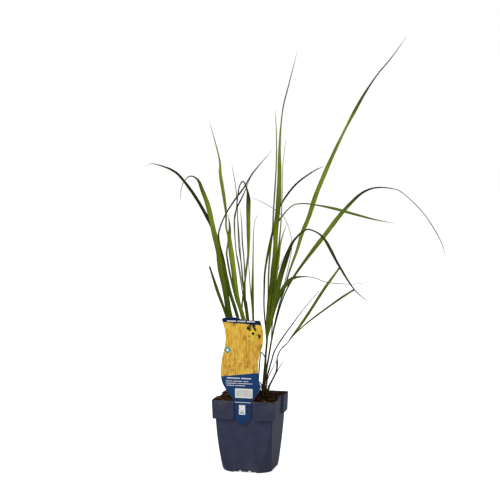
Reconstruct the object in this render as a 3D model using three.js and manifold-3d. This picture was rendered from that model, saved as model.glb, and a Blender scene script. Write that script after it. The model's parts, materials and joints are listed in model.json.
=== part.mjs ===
// Potted tall moor grass: a square nursery pot with soil, a plant label, fourteen leafy shoots and
// four bare stalks. Millimetres, +Z up. The pot's faces lie along X and Y, its labelled face looks
// along -Y, and the origin is the centre of the pot's base on the surface that it stands on.

import * as THREE from "three";
import { mergeVertices } from "three/addons/utils/BufferGeometryUtils.js";
import Module from "manifold-3d";

const wasm = await Module();
wasm.setup();

// Driving dimensions
const potHeight = 128.6;
const potTopSide = 105.8;
const potBaseSide = 90.2;
const potTopCornerRadius = 2;
const potBaseCornerRadius = 24;
const roundCornersTo = 80;
const cornerRounding = 1.8;
const baseTuck = 0.8;
const baseTuckHeight = 12;
const potWall = 1.4;
const potFloor = 3;
const footHeight = 1.8;
const footGap = 42;
const basePadRadius = 14;
const basePadSides = 24;

const collarHeight = 33;
const collarTopSide = 113.4;
const collarBottomSide = 111;
const collarCornerRadius = 3;
const recessHalfWidth = 17;
const recessFillet = 5;
const cornerSteps = 4;

const drainNotchWidth = 5.5;
const drainNotchHeight = 4.5;
const drainNotchDepth = 16;
const drainNotchOffset = 8.5;
const drainHoleRadius = 4;
const drainHoleSides = 16;
const drainHoleOffset = 27;

const clearance = 0.35;
const soilLevel = 124;
const soilLumpHeight = 1.3;
const crownHeight = 8.5;
const crownRadius = 24;
const crownCentre = [14, 6];
const soilCell = 7;
const rootDepth = 24;

// The soil's lumps are four crossed waves: their shares of the height, turns per mm, and phases.
const soilWaves = [
  { share: 0.5, alongX: 0.21, alongY: 0.17, phase: 0.5 },
  { share: 0.5, alongX: 0.21, alongY: -0.17, phase: 1.3 },
  { share: 0.7, alongX: 0.43, alongY: -0.31, phase: 1.7 },
  { share: 0.6, alongX: 0.36, alongY: 0.52, phase: 1.57 },
];

// Heaps on the soil along the rim: where each one lies, how high it is, and how far it reaches.
const soilHeaps = [
  { x: -44, y: -32, height: 4.6, reach: 13 },
  { x: -43, y: 12, height: 5.4, reach: 16 },
  { x: -34, y: 42, height: 3.4, reach: 14 },
  { x: 42, y: 8, height: 2.2, reach: 18 },
];

const labelThickness = 0.8;
const labelBackY = -(potTopSide / 2 + clearance);
const labelSlotOffset = 9.5;
const labelSlotWidth = 2.2;
const labelSlotHeight = 3.6;
const labelTabCentre = -2.2;
const labelSlotHeights = [109, 117.5];
const pegClearance = 0.4;

// The plant is listed as seen from its best side, which is turned a little from the labelled face.
const plantTurn = THREE.MathUtils.degToRad(13.5);
const bladeThickness = 0.7;
const bladeFold = 0.2;
const bladeTipWidth = 0.9;
const sheathTaper = 0.25;
const stalkTaper = 0.6;
const stepsPerSpan = 2;
const sheathSides = 6;

// Each shoot: its rolled leaf sheath from the soil up, and the blades that leave it. A path runs
// from root to tip as [across, depth, up]; a blade's goes on from the top of its sheath, or from
// the sheath point that "from" counts. Turn and width are listed along a blade at even steps. Turn
// is in degrees: at 0 the blade's flat side faces the front, and at 90 its edge does.
const shoots = [
  {
    name: "tiller_01", sheathRadius: 1.7,
    sheath: [[0, -24, 141], [-8, -24, 175], [-16, -24, 203]],
    blades: [
      {
        what: "low blunt left blade", turn: [20, 25, 30],
        width: [2.5, 3.5, 4.8, 5.6, 5.6, 3.2],
        path: [[-23, -25, 215], [-42, -28, 275], [-57, -31, 317], [-71, -33, 361]],
      },
    ],
  },
  {
    name: "tiller_02", sheathRadius: 2.2,
    sheath: [[2, -15, 139], [-6, -15, 173], [-12, -15, 201]],
    blades: [
      {
        what: "left droop", turn: [30, 25, 20, 30, 60],
        width: [4, 8, 10.2, 10.4, 10.2, 9.2, 8, 5.5, 1],
        path: [[-27, -18, 246], [-37, -22, 277], [-43.5, -29, 316], [-52, -37, 359], [-55.5, -43, 390],
          [-64, -52, 427], [-72, -63, 466], [-82, -71, 495], [-89, -77, 512], [-100, -80, 519],
          [-109, -84, 514], [-116, -88, 501], [-118, -95, 481]],
      },
    ],
  },
  {
    name: "tiller_03", sheathRadius: 2.2,
    sheath: [[3, -6, 138], [-3, -6, 175], [-7, -6, 207]],
    blades: [
      {
        what: "far left arch", turn: [35, 30, 30, 35, 50],
        width: [3, 5, 6.5, 7, 7, 6.8, 6.2, 5, 1],
        path: [[-17.5, -6, 250], [-27.5, -4, 285], [-36.5, -3, 313], [-43, -2, 341], [-48.5, 0, 369],
          [-56, 2, 395], [-65, 5, 422], [-94, 9, 475], [-122, 14, 513], [-138, 15, 526],
          [-156, 17, 533], [-173, 19, 537], [-185, 20, 532]],
      },
      {
        what: "dark diagonal", turn: [40, 60, 50, 45],
        width: [1.5, 2.5, 3.5, 4.2, 3.8, 4.2, 0.9],
        path: [[-21, -13, 268], [-33.5, -16, 307], [-46, -19, 367], [-55, -23, 408], [-53, -25, 427],
          [-43, -29, 451], [-28, -33, 475], [-11, -37, 498], [5, -42, 524], [36, -50, 561]],
      },
    ],
  },
  {
    name: "tiller_04", sheathRadius: 2.1,
    sheath: [[5, 2, 136], [1, 2, 174], [-3, 2, 209]],
    blades: [
      {
        what: "tall left blade", turn: [50, 60, 65, 60, 60, 62, 25, 25, 40],
        width: [3, 4.5, 5.8, 6, 6, 6, 5.9, 2.4, 0.9],
        path: [[-16, 3, 271], [-26, 4, 300], [-35.5, 5, 340], [-40.5, 6, 368], [-42, 7, 382],
          [-39, 8, 405], [-43, 9, 428], [-43, 10, 450], [-47, 12, 481], [-53, 14, 519], [-55, 16, 547],
          [-72, 20, 611]],
      },
      {
        what: "narrow blade behind the left ones", turn: [40, 50, 50],
        width: [2.5, 4, 4.6, 4.6, 4, 1.4],
        path: [[-17, -7, 274], [-25, -8, 306], [-30.5, -9, 335], [-34, -11, 363]],
      },
    ],
  },
  {
    name: "tiller_05", sheathRadius: 2.3,
    sheath: [[6, 10, 135], [2, 10, 176], [-3, 10, 215]],
    blades: [
      {
        what: "broad light left blade", turn: [15, 10, 5, 30],
        width: [4, 6, 7, 7.2, 8.5, 9, 8.8, 6, 1],
        path: [[-6, 11, 238], [-15, 14, 272], [-22, 17, 294], [-27, 21, 320], [-30, 25, 347],
          [-37, 35, 401], [-37, 40, 424], [-40, 45, 446]],
      },
      {
        what: "short sliver", turn: [20, 50],
        width: [1.6, 2.2, 2.4, 2, 0.9],
        path: [[-5, 15, 252], [-9, 25, 290], [-17, 46, 336], [-24, 66, 372]],
      },
    ],
  },
  {
    name: "tiller_06", sheathRadius: 2.0,
    sheath: [[10, 18, 133], [4, 18, 178], [-1, 18, 221]],
    blades: [
      {
        what: "hairpin", turn: [35, 55, 55, 30, 35, 40],
        width: [3, 4, 4.5, 4.5, 5, 7.6, 8, 6.6, 4],
        path: [[-14.5, 19, 246], [-15, 22, 287], [-11, 25, 320], [-7, 28, 354], [-4, 32, 380],
          [-4, 41, 449], [-4, 45, 477], [-8, 49, 497], [-13.5, 50, 505], [-18.5, 51, 500],
          [-22, 50, 487], [-27, 52, 440]],
      },
      {
        what: "thin middle left tip", turn: [30, 40],
        width: [1.5, 2.2, 2.8, 2.9, 2.8, 2.6, 0.9],
        path: [[-4, 23, 256], [-9, 34, 294], [-10, 45, 329], [-12, 58, 367], [-15, 70, 398],
          [-16, 83, 427], [-19, 95, 452]],
      },
    ],
  },
  {
    name: "tiller_07", sheathRadius: 1.8,
    sheath: [[8, 26, 132], [3, 26, 177], [-4, 26, 223]],
    blades: [
      {
        what: "high thin tip", turn: [30, 40, 40],
        width: [1.5, 2.2, 2.8, 2.9, 2.4, 2.4, 1.8, 0.9],
        path: [[-7, 31, 262], [-12, 44, 309], [-16, 59, 351], [-21, 74, 385], [-23, 92, 424],
          [-25, 114, 468], [-29, 133, 502], [-35, 150, 532]],
      },
      {
        what: "curled thin blade", turn: [55, 50, 45],
        width: [1.5, 2, 2.5, 2.8, 2.8, 2.8, 3.6, 3.6, 1],
        path: [[-8, 29, 266], [-15, 34, 312], [-21, 40, 351], [-26, 46, 382], [-29, 56, 432],
          [-25, 61, 455], [-14, 67, 478], [0, 75, 510]],
      },
      {
        what: "faint thin tip", turn: [30, 40],
        width: [1.2, 2, 2.4, 2.4, 2.2, 1.8, 0.9],
        path: [[-6, 33, 262], [-10, 45, 298], [-14, 57, 326], [-17, 72, 357], [-23, 118, 434]],
      },
    ],
  },
  {
    name: "tiller_08", sheathRadius: 2.0,
    sheath: [[15, -3, 137], [9, -3, 182], [5, -3, 224]],
    blades: [
      {
        what: "upright middle blade", turn: [30, 40, 50],
        width: [2.5, 3.5, 4.4, 5.4, 6.2, 3.8, 2.8, 1.8, 0.9],
        path: [[5, -5, 253], [4, -9, 285], [3.5, -14, 318], [4.5, -27, 385], [5, -34, 414],
          [7, -40, 437], [13, -45, 454]],
      },
      {
        what: "short middle blade", turn: [50, 60],
        width: [1.5, 2.5, 3.2, 3.6, 3.4, 2.6, 1],
        path: [[5, -4, 260], [-1, -13, 328], [-4, -22, 378]],
      },
    ],
  },
  {
    name: "stalk_01", sheathRadius: 1.1,
    sheath: [[15, -16, 139], [8, -16, 187], [2, -16, 230], [-7, -16, 299]],
    blades: [],
  },
  {
    name: "tiller_09", sheathRadius: 2,
    sheath: [[21.5, -5, 138], [24.5, -5, 175], [27, -5, 207], [29, -5, 232]],
    blades: [
      {
        what: "tall centre blade", turn: [10, 14, 18, 22, 25, 30, 40, 45, 50],
        width: [4.5, 6.5, 8, 8.6, 9.6, 7.2, 3.4, 2.8, 0.9],
        path: [[29.5, -5, 260], [32.5, -6, 297], [36.5, -7, 324], [39, -7, 352], [43, -8, 384],
          [44, -10, 423], [48, -12, 464], [50, -14, 513], [50, -16, 558], [52, -18, 599],
          [56.5, -20, 637], [66, -22, 675], [80, -26, 730]],
      },
      {
        what: "thin tip beside the centre", turn: [30, 40, 60],
        width: [1.8, 2.8, 3.6, 4, 3.6, 2.6, 1.8, 1.2, 0.9],
        path: [[34, -5, 271], [40.5, -6, 327], [47.5, -7, 378], [53, -9, 436], [55, -11, 492],
          [56, -12, 536], [61, -14, 578]],
      },
      {
        what: "short light tip", turn: [30, 40, 50],
        width: [2, 3, 4, 4.4, 4.6, 4.4, 3.8, 0.9],
        path: [[33, -5, 255], [46, -7, 345], [50, -7, 377], [53, -8, 402], [63, -9, 434]],
      },
    ],
  },
  {
    name: "tiller_10", sheathRadius: 1.7,
    sheath: [[22, 5, 137], [24.5, 5, 170], [26.5, 5, 196], [28.5, 5, 221]],
    blades: [
      {
        what: "bent right blade", turn: [62, 60, 60, 57, 45, 46, 84, 72, 44, 45, 45],
        width: [3, 4.5, 5.6, 6, 6, 6, 5.6, 4, 0.9],
        path: [[24, 5, 280], [24, 5, 315], [26, 4, 354], [37, 1, 411], [45, -1, 432], [70, -5, 462],
          [90, -8, 468], [114, -12, 466], [146, -19, 460], [180, -29, 451], [212, -40, 443],
          [246, -55, 437]],
      },
      {
        what: "long thin centre blade", turn: [40, 35, 40, 45],
        width: [1.8, 2.6, 3.4, 3.8, 3.8, 3.4, 2.8, 2, 0.9],
        path: [[29, 7, 258], [31, 11, 301], [32, 16, 346], [35, 21, 385], [39, 27, 420], [41, 34, 460],
          [44, 42, 504], [46, 51, 546], [46, 60, 589], [44, 70, 631]],
      },
      {
        what: "dead thin blade", turn: [50, 50],
        width: [1.6, 2.4, 2.4, 2, 1.2],
        path: [[31, 7, 262], [36, 12, 309], [38, 18, 349], [40, 24, 384], [43, 30, 418]],
      },
    ],
  },
  {
    name: "tiller_11", sheathRadius: 1.7,
    sheath: [[24, 13, 138], [29, 13, 177], [34, 13, 208], [37.5, 13, 229]],
    blades: [
      {
        what: "tallest blade", turn: [25, 20, 15, 20, 30],
        width: [2.4, 2.6, 2.8, 4, 6.6, 8.2, 8, 6.8, 4.6, 6, 3, 2.2, 0.9],
        path: [[43, 14, 256], [51, 15, 289], [60, 17, 316], [69, 19, 348], [82, 22, 384], [91, 25, 414],
          [103, 28, 443], [115, 32, 480], [131, 36, 519], [148, 41, 557], [167, 47, 596], [185, 52, 630],
          [204, 57, 663], [226, 62, 695], [249, 68, 722], [277, 75, 760]],
      },
      {
        what: "great right arch", turn: [30, 25, 28, 45, 75, 80],
        width: [2.5, 2.8, 3, 5.8, 8.8, 9.4, 6, 2.2, 1.6, 1.5, 0.9],
        path: [[52, 14, 284], [62, 14, 311], [74, 15, 334], [88, 16, 355], [111, 17, 386],
          [133, 19, 414], [154, 20, 442], [174, 22, 465], [193, 23, 483], [210, 24, 492], [228, 25, 495],
          [248, 26, 493], [267, 27, 486], [305, 30, 450], [335, 33, 404], [347, 35, 371]],
      },
    ],
  },
  {
    name: "tiller_12", sheathRadius: 1.7,
    sheath: [[22.5, -17, 140], [25.5, -17, 175], [27.5, -17, 209], [30, -17, 235]],
    blades: [
      {
        what: "broad dark droop", turn: [30, 26, 22, 22, 28, 50, 82, 38, 38, 40, 45],
        width: [4, 5.5, 7.5, 9.6, 10.6, 7.5, 6.8, 6.5, 4.6, 2.8, 0.9],
        path: [[33, -19, 257], [41, -26, 293], [53, -37, 348], [68, -48, 395], [78, -53, 412],
          [91, -57, 424], [103, -60, 426], [125, -67, 412], [150, -81, 367], [176, -95, 327],
          [204, -105, 304]],
      },
      {
        what: "low S curve", turn: [25, 28, 32, 38, 42, 86, 84, 84, 84],
        width: [3.5, 5, 6.5, 8.5, 9.4, 4, 3.5, 2.5, 0.9],
        path: [[38.5, -19, 273], [44, -22, 292], [51, -24, 311], [60, -27, 327], [73, -30, 340],
          [92, -34, 343], [111, -38, 341], [132, -42, 334], [171, -52, 332], [202, -60, 336]],
      },
    ],
  },
  {
    name: "tiller_13", sheathRadius: 1.4,
    sheath: [[24.5, 23, 137], [30, 23, 177], [35.5, 23, 210]],
    blades: [
      {
        what: "dark rear arch", turn: [50, 55, 55, 50],
        width: [2, 3, 4.2, 4.4, 4.2, 4, 4, 1.6],
        path: [[38, 25, 242], [41, 33, 294], [43, 44, 347], [45, 57, 400], [49, 67, 438], [54, 74, 461],
          [81, 88, 497], [116, 103, 522], [136, 110, 530]],
      },
      {
        what: "thin arch to the left", turn: [30, 55, 70, 60],
        width: [1.8, 2.8, 3.2, 3.2, 2.4, 1.8, 2, 0.9],
        path: [[43, 24, 249], [53, 27, 293], [69, 33, 362], [73, 35, 387], [72, 37, 408], [63, 41, 435],
          [52, 43, 448], [35, 45, 460], [18, 48, 469], [1, 50, 476]],
      },
      {
        what: "small edge blade", turn: [40, 60],
        width: [1.4, 2.4, 2.8, 2.2, 0.9],
        path: [[38, 23, 245], [44, 25, 320], [48, 25, 345], [59, 26, 374]],
      },
    ],
  },
  {
    name: "tiller_14", sheathRadius: 1.3,
    sheath: [[30.5, -26, 145], [39, -26, 164], [45, -26, 178], [46.5, -26, 200], [53, -26, 215],
      [64, -26, 226]],
    blades: [
      {
        what: "straight low right blade", turn: [55, 30, 15, 15, 30],
        width: [3.5, 5, 5.4, 5.4, 5.1, 5.2, 3.8],
        path: [[76, -28, 243], [91, -34, 265], [108, -44, 293], [126, -57, 324], [151, -78, 363]],
      },
      {
        what: "second low right blade", turn: [70, 62, 50, 35, 30],
        width: [3, 3.4, 3.4, 4, 3.6, 4.6, 3.4],
        path: [[75, -27, 240], [103, -31, 266], [152, -41, 304], [178, -48, 322]],
      },
      {
        what: "leaflet", turn: [10, 10], from: 3,
        width: [2.6, 3.4, 2],
        path: [[47, -28, 193], [46, -29, 183], [44.5, -30, 172]],
      },
    ],
  },
  {
    name: "stalk_02", sheathRadius: 1,
    sheath: [[27.5, 5, 137], [29.5, 5, 161], [33, 5, 175], [37.5, 5, 191], [42, 5, 206], [54, 5, 227],
      [76, 5, 258], [96, 5, 285], [121, 5, 314]],
    blades: [],
  },
  {
    name: "stalk_03", sheathRadius: 0.9,
    sheath: [[32.5, -9, 142], [40, -9, 160], [50, -9, 179], [58, -9, 191]],
    blades: [],
  },
  {
    name: "stalk_04", sheathRadius: 1.5,
    sheath: [[13, -14, 141], [14, -14, 162], [15.5, -14, 183], [17, -14, 201], [18.5, -14, 208],
      [22.5, -14, 204], [25.5, -14, 199]],
    blades: [],
  },
];

// Materials
const potPlastic = new THREE.MeshStandardMaterial({ color: 0x3a3e4e, roughness: 0.55, metalness: 0 });
const soilBrown = new THREE.MeshStandardMaterial({ color: 0x34231a, roughness: 1, metalness: 0 });
const labelCard = new THREE.MeshStandardMaterial({ color: 0xd9a441, roughness: 0.4, metalness: 0 });
const leafGreen = new THREE.MeshStandardMaterial({ color: 0x55752a, roughness: 0.5, metalness: 0 });
const stalkBrown = new THREE.MeshStandardMaterial({ color: 0x6b5238, roughness: 0.7, metalness: 0 });

// Solids and meshes
function solidFrom(geometry) {
  const bare = geometry.index ? geometry.toNonIndexed() : geometry.clone();
  bare.deleteAttribute("normal");
  bare.deleteAttribute("uv");
  const merged = mergeVertices(bare, 1e-4);
  const mesh = new wasm.Mesh({
    numProp: 3,
    vertProperties: new Float32Array(merged.attributes.position.array),
    triVerts: new Uint32Array(merged.index.array),
  });
  return new wasm.Manifold(mesh);
}

function meshFrom(name, solid, material) {
  const { vertProperties, triVerts } = solid.getMesh();
  const geometry = new THREE.BufferGeometry();
  geometry.setAttribute("position", new THREE.BufferAttribute(new Float32Array(vertProperties), 3));
  geometry.setIndex(new THREE.BufferAttribute(new Uint32Array(triVerts), 1));
  geometry.computeVertexNormals();
  const mesh = new THREE.Mesh(geometry, material);
  mesh.name = name;
  return mesh;
}

// A closed solid through rings of equally many points. The first flatSide points of each ring are
// one side of a thin blade: its other side is split along the same diagonals.
function loft(rings, flatSide = Infinity) {
  const count = rings[0].length;
  const triangles = [];
  const addTriangle = (a, b, c) => triangles.push(...a.toArray(), ...b.toArray(), ...c.toArray());
  for (let i = 0; i + 1 < rings.length; i += 1) {
    for (let j = 0; j < count; j += 1) {
      const k = (j + 1) % count;
      const [a, b, c, d] = [rings[i][j], rings[i][k], rings[i + 1][k], rings[i + 1][j]];
      if (j >= flatSide) {
        addTriangle(a, b, d);
        addTriangle(b, c, d);
      } else {
        addTriangle(a, b, c);
        addTriangle(a, c, d);
      }
    }
  }
  const last = rings[rings.length - 1];
  for (const [a, b, c] of capTriangles(count)) {
    addTriangle(rings[0][a], rings[0][c], rings[0][b]);
    addTriangle(last[a], last[b], last[c]);
  }
  const geometry = new THREE.BufferGeometry();
  geometry.setAttribute("position", new THREE.Float32BufferAttribute(triangles, 3));
  const solid = solidFrom(geometry);
  return solid.volume() < 0 ? solidFrom(turnedInsideOut(geometry)) : solid;
}

// A cap is cut in strips between the ring's two halves, which also suits a folded blade's section.
function capTriangles(count) {
  const strips = [];
  let [low, high] = [0, count - 1];
  while (low + 1 < high) {
    strips.push([low, low + 1, high]);
    if (low + 2 < high) strips.push([low + 1, high - 1, high]);
    low += 1;
    high -= 1;
  }
  return strips;
}

function turnedInsideOut(geometry) {
  const turned = geometry.clone();
  const position = turned.attributes.position;
  for (let i = 0; i < position.count; i += 3) {
    const second = new THREE.Vector3().fromBufferAttribute(position, i + 1);
    const third = new THREE.Vector3().fromBufferAttribute(position, i + 2);
    position.setXYZ(i + 1, ...third.toArray());
    position.setXYZ(i + 2, ...second.toArray());
  }
  return turned;
}

function union(solids) {
  return solids.reduce((whole, solid) => whole.add(solid));
}

function box(x0, x1, y0, y1, z0, z1) {
  const geometry = new THREE.BoxGeometry(x1 - x0, y1 - y0, z1 - z0);
  geometry.translate((x0 + x1) / 2, (y0 + y1) / 2, (z0 + z1) / 2);
  return solidFrom(geometry);
}

function upright(radius, z0, z1, x, y, sides) {
  const geometry = new THREE.CylinderGeometry(radius, radius, z1 - z0, sides);
  geometry.rotateX(Math.PI / 2);
  geometry.translate(x, y, (z0 + z1) / 2);
  return solidFrom(geometry);
}

// Four blocks where the label's tab is held: the pot's pegs, or the slots that they stand in.
function labelHolds(halfWidth, halfHeight, y0, y1) {
  const blocks = [];
  for (const z of labelSlotHeights) {
    for (const side of [-1, 1]) {
      const x = labelTabCentre + side * labelSlotOffset;
      blocks.push(box(x - halfWidth, x + halfWidth, y0, y1, z - halfHeight, z + halfHeight));
    }
  }
  return union(blocks);
}

// The pot
function roundedSquare(side, radius, z) {
  const points = [];
  for (let corner = 0; corner < 4; corner += 1) {
    const start = (corner * Math.PI) / 2;
    const middle = start + Math.PI / 4;
    const reach = (side / 2 - radius) * Math.SQRT2;
    for (let step = 0; step <= cornerSteps; step += 1) {
      const angle = start + (step / cornerSteps) * (Math.PI / 2);
      points.push(
        new THREE.Vector3(
          Math.cos(middle) * reach + Math.cos(angle) * radius,
          Math.sin(middle) * reach + Math.sin(angle) * radius,
          z,
        ),
      );
    }
  }
  return points;
}

// The body tapers, and its lowest edge is tucked in a little.
function potSideAt(z) {
  const tuck = baseTuck * Math.pow(Math.max(1 - z / baseTuckHeight, 0), 2);
  return THREE.MathUtils.lerp(potBaseSide, potTopSide, Math.min(z / potHeight, 1)) - 2 * tuck;
}

// The body, inset for its inside. Its corners grow rounder towards the base, so its rings stand
// closer there.
const bodyLevels = [0, 0.03, 0.07, 0.13, 0.21, 0.3, 0.41, 0.52, 0.65, 1];

function potBody(inset, z0, z1) {
  const rounder = potBaseCornerRadius - potTopCornerRadius;
  return loft(
    bodyLevels.map((level) => {
      const z = z0 + (z1 - z0) * level;
      const below = Math.max(1 - z / roundCornersTo, 0);
      const round = potTopCornerRadius + rounder * Math.pow(below, cornerRounding);
      return roundedSquare(potSideAt(z) - 2 * inset, Math.max(round - inset, 1), z);
    }),
  );
}

// The collar's four corner panels: a square band, parted on each face by a recess.
function collar(inset, z0, z1) {
  const sideAt = (z) => {
    const rise = (z - (potHeight - collarHeight)) / collarHeight;
    return THREE.MathUtils.lerp(collarBottomSide, collarTopSide, rise) - 2 * inset;
  };
  const radius = Math.max(collarCornerRadius - inset, 1);
  const band = loft([z0, z1].map((z) => roundedSquare(sideAt(z), radius, z)));
  return band.subtract(recessBar(inset, false)).subtract(recessBar(inset, true));
}

// A bar through the collar, as wide as two facing recesses, with the panels' rounded lower ends.
function recessBar(inset, alongX) {
  const half = recessHalfWidth + inset;
  const bottom = potHeight - collarHeight;
  const outline = new THREE.Shape();
  outline.moveTo(-half - recessFillet, bottom - recessFillet);
  outline.lineTo(half + recessFillet, bottom - recessFillet);
  outline.lineTo(half + recessFillet, bottom);
  outline.quadraticCurveTo(half, bottom, half, bottom + recessFillet);
  outline.lineTo(half, potHeight + recessFillet);
  outline.lineTo(-half, potHeight + recessFillet);
  outline.lineTo(-half, bottom + recessFillet);
  outline.quadraticCurveTo(-half, bottom, -half - recessFillet, bottom);
  outline.closePath();
  const depth = 2 * collarTopSide;
  const bar = new THREE.ExtrudeGeometry(outline, { depth, bevelEnabled: false, curveSegments: 4 });
  bar.translate(0, 0, -depth / 2);
  bar.rotateX(Math.PI / 2);
  if (alongX) bar.rotateZ(Math.PI / 2);
  return solidFrom(bar);
}

// What the pot holds, smaller all round by a clearance.
function potInside(gap) {
  const inset = potWall + gap;
  const above = potHeight + recessFillet;
  const collarFloor = potHeight - collarHeight + inset;
  return potBody(inset, potFloor + gap, above).add(collar(inset, collarFloor, above));
}

function buildPot() {
  const shell = potBody(0, 0, potHeight).add(collar(0, potHeight - collarHeight, potHeight));
  const far = collarTopSide;
  const reliefX = box(-far, far, -footGap / 2, footGap / 2, -1, footHeight);
  const reliefY = box(-footGap / 2, footGap / 2, -far, far, -1, footHeight);
  const basePad = upright(basePadRadius, 0, footHeight + 1, 0, 0, basePadSides);
  const cuts = [reliefX.add(reliefY).subtract(basePad)];
  const notchInner = potBaseSide / 2 - drainNotchDepth;
  for (const middle of [-drainNotchOffset, drainNotchOffset]) {
    const across = [middle - drainNotchWidth / 2, middle + drainNotchWidth / 2];
    for (const outwards of [[-far, -notchInner], [notchInner, far]]) {
      cuts.push(box(...across, ...outwards, -1, drainNotchHeight));
      cuts.push(box(...outwards, ...across, -1, drainNotchHeight));
    }
  }
  for (const [dx, dy] of [[1, 0], [0, 1], [-1, 0], [0, -1]]) {
    const [x, y] = [dx * drainHoleOffset, dy * drainHoleOffset];
    cuts.push(upright(drainHoleRadius, -1, potFloor + 1, x, y, drainHoleSides));
  }
  const pegs = labelHolds(
    labelSlotWidth / 2 - pegClearance,
    labelSlotHeight / 2 - pegClearance,
    labelBackY - labelThickness - pegClearance,
    (potWall - potSideAt(labelSlotHeights[0])) / 2,
  );
  return shell.subtract(potInside(0)).subtract(union(cuts)).add(pegs);
}

// The soil, with its crown raised where the shoots leave it
function soilHeight(x, y) {
  const lumps = soilWaves.reduce(
    (sum, { share, alongX, alongY, phase }) => sum + share * Math.sin(alongX * x + alongY * y + phase),
    0,
  );
  const fromCrown = Math.hypot(x - crownCentre[0], y - crownCentre[1]) / crownRadius;
  const heaps = soilHeaps.reduce(
    (sum, heap) => sum + heap.height * Math.exp(-((Math.hypot(x - heap.x, y - heap.y) / heap.reach) ** 2)),
    0,
  );
  return soilLevel + soilLumpHeight * lumps + crownHeight * Math.exp(-fromCrown * fromCrown) + heaps;
}

function buildSoil(holes) {
  const cells = Math.ceil(collarTopSide / soilCell);
  const half = (cells * soilCell) / 2;
  const edge = (i) => i * soilCell - half;
  const top = (i, j) => [edge(i), edge(j), soilHeight(edge(i), edge(j))];
  const low = (i, j) => [edge(i), edge(j), -soilCell];
  const triangles = [];
  const addQuad = (a, b, c, d) => {
    for (const point of [a, b, c, a, c, d]) triangles.push(...point);
  };
  for (let i = 0; i < cells; i += 1) {
    for (let j = 0; j < cells; j += 1) {
      addQuad(top(i, j), top(i + 1, j), top(i + 1, j + 1), top(i, j + 1));
      addQuad(low(i, j), low(i, j + 1), low(i + 1, j + 1), low(i + 1, j));
    }
    addQuad(low(i, 0), low(i + 1, 0), top(i + 1, 0), top(i, 0));
    addQuad(low(i + 1, cells), low(i, cells), top(i, cells), top(i + 1, cells));
    addQuad(low(0, i + 1), low(0, i), top(0, i), top(0, i + 1));
    addQuad(low(cells, i), low(cells, i + 1), top(cells, i + 1), top(cells, i));
  }
  const slab = new THREE.BufferGeometry();
  slab.setAttribute("position", new THREE.Float32BufferAttribute(triangles, 3));
  return potInside(clearance).intersect(solidFrom(slab)).subtract(union(holes));
}

// The label: a wavy card on a narrow tab, which hangs on four pegs in the front recess
function buildLabel() {
  const outline = new THREE.Shape();
  outline.moveTo(-16.2, 122);
  outline.lineTo(-16.4, 129.2);
  outline.quadraticCurveTo(-31, 146, -37, 158);
  outline.bezierCurveTo(-41.5, 170, -41.5, 184, -38.5, 200);
  outline.bezierCurveTo(-34, 220, -28, 236, -34, 255);
  outline.lineTo(-38.2, 271.2);
  outline.bezierCurveTo(-30, 275.5, -12, 276, -1, 269.6);
  outline.lineTo(29.4, 270);
  outline.bezierCurveTo(38, 252, 37.5, 230, 29.5, 213);
  outline.bezierCurveTo(25, 194, 24, 172, 31, 155);
  outline.quadraticCurveTo(26, 141, 16.2, 129.2);
  outline.lineTo(12.4, 123);
  outline.lineTo(11.8, 101.5);
  outline.bezierCurveTo(9, 84.5, -12, 84.5, -16.2, 101);
  outline.closePath();
  const card = new THREE.ExtrudeGeometry(outline, {
    depth: labelThickness,
    bevelEnabled: false,
    curveSegments: 8,
  });
  card.rotateX(Math.PI / 2);
  card.translate(0, labelBackY, 0);
  const slots = labelHolds(labelSlotWidth / 2, labelSlotHeight / 2, labelBackY - 1, labelBackY + 1);
  return solidFrom(card).subtract(slots);
}

// The grass
function curveThrough(path) {
  const turnAxis = new THREE.Vector3(0, 0, 1);
  const points = path.map((point) => new THREE.Vector3(...point).applyAxisAngle(turnAxis, plantTurn));
  return new THREE.CatmullRomCurve3(points, false, "catmullrom", 0.5);
}

// Stations along a curve, closer where its points are closer, each with its share of the length.
function stationsOn(curve, steps) {
  const points = Array.from({ length: steps + 1 }, (_, i) => curve.getPoint(i / steps));
  const lengths = [0];
  for (let i = 1; i <= steps; i += 1) {
    lengths.push(lengths[i - 1] + points[i].distanceTo(points[i - 1]));
  }
  return points.map((point, i) => {
    const tangent = curve.getTangent(i / steps);
    const share = lengths[i] / lengths[steps];
    return { point, tangent, share };
  });
}

// The flat side's normal and the width's direction at a station, turned about the tangent.
function frameAt({ tangent }, turn) {
  const normal = new THREE.Vector3(0, -1, 0).applyAxisAngle(new THREE.Vector3(0, 0, 1), plantTurn);
  normal.addScaledVector(tangent, -normal.dot(tangent)).normalize();
  normal.applyAxisAngle(tangent, THREE.MathUtils.degToRad(turn));
  const across = new THREE.Vector3().crossVectors(tangent, normal);
  return { normal, across };
}

function sheathSolid(sheath, radius, slender, extra = 0) {
  const [x, y, z] = sheath[0];
  const foot = [x, y, z - rootDepth - extra];
  const path = [foot, ...sheath];
  const stations = stationsOn(curveThrough(path), (path.length - 1) * stepsPerSpan);
  const taper = slender ? stalkTaper : sheathTaper;
  return loft(
    stations.map((station) => {
      const { normal, across } = frameAt(station, 0);
      const size = radius * (1 - taper * station.share) + extra;
      return Array.from({ length: sheathSides }, (_, i) => {
        const angle = (i / sheathSides) * 2 * Math.PI;
        return station.point
          .clone()
          .addScaledVector(across, Math.cos(angle) * size)
          .addScaledVector(normal, Math.sin(angle) * size);
      });
    }),
  );
}

// The value at a share of a blade's length, from a list at even steps.
function listed(values, share) {
  const place = share * (values.length - 1);
  const index = Math.min(Math.floor(place), values.length - 2);
  return THREE.MathUtils.lerp(values[index], values[index + 1], place - index);
}

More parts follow.
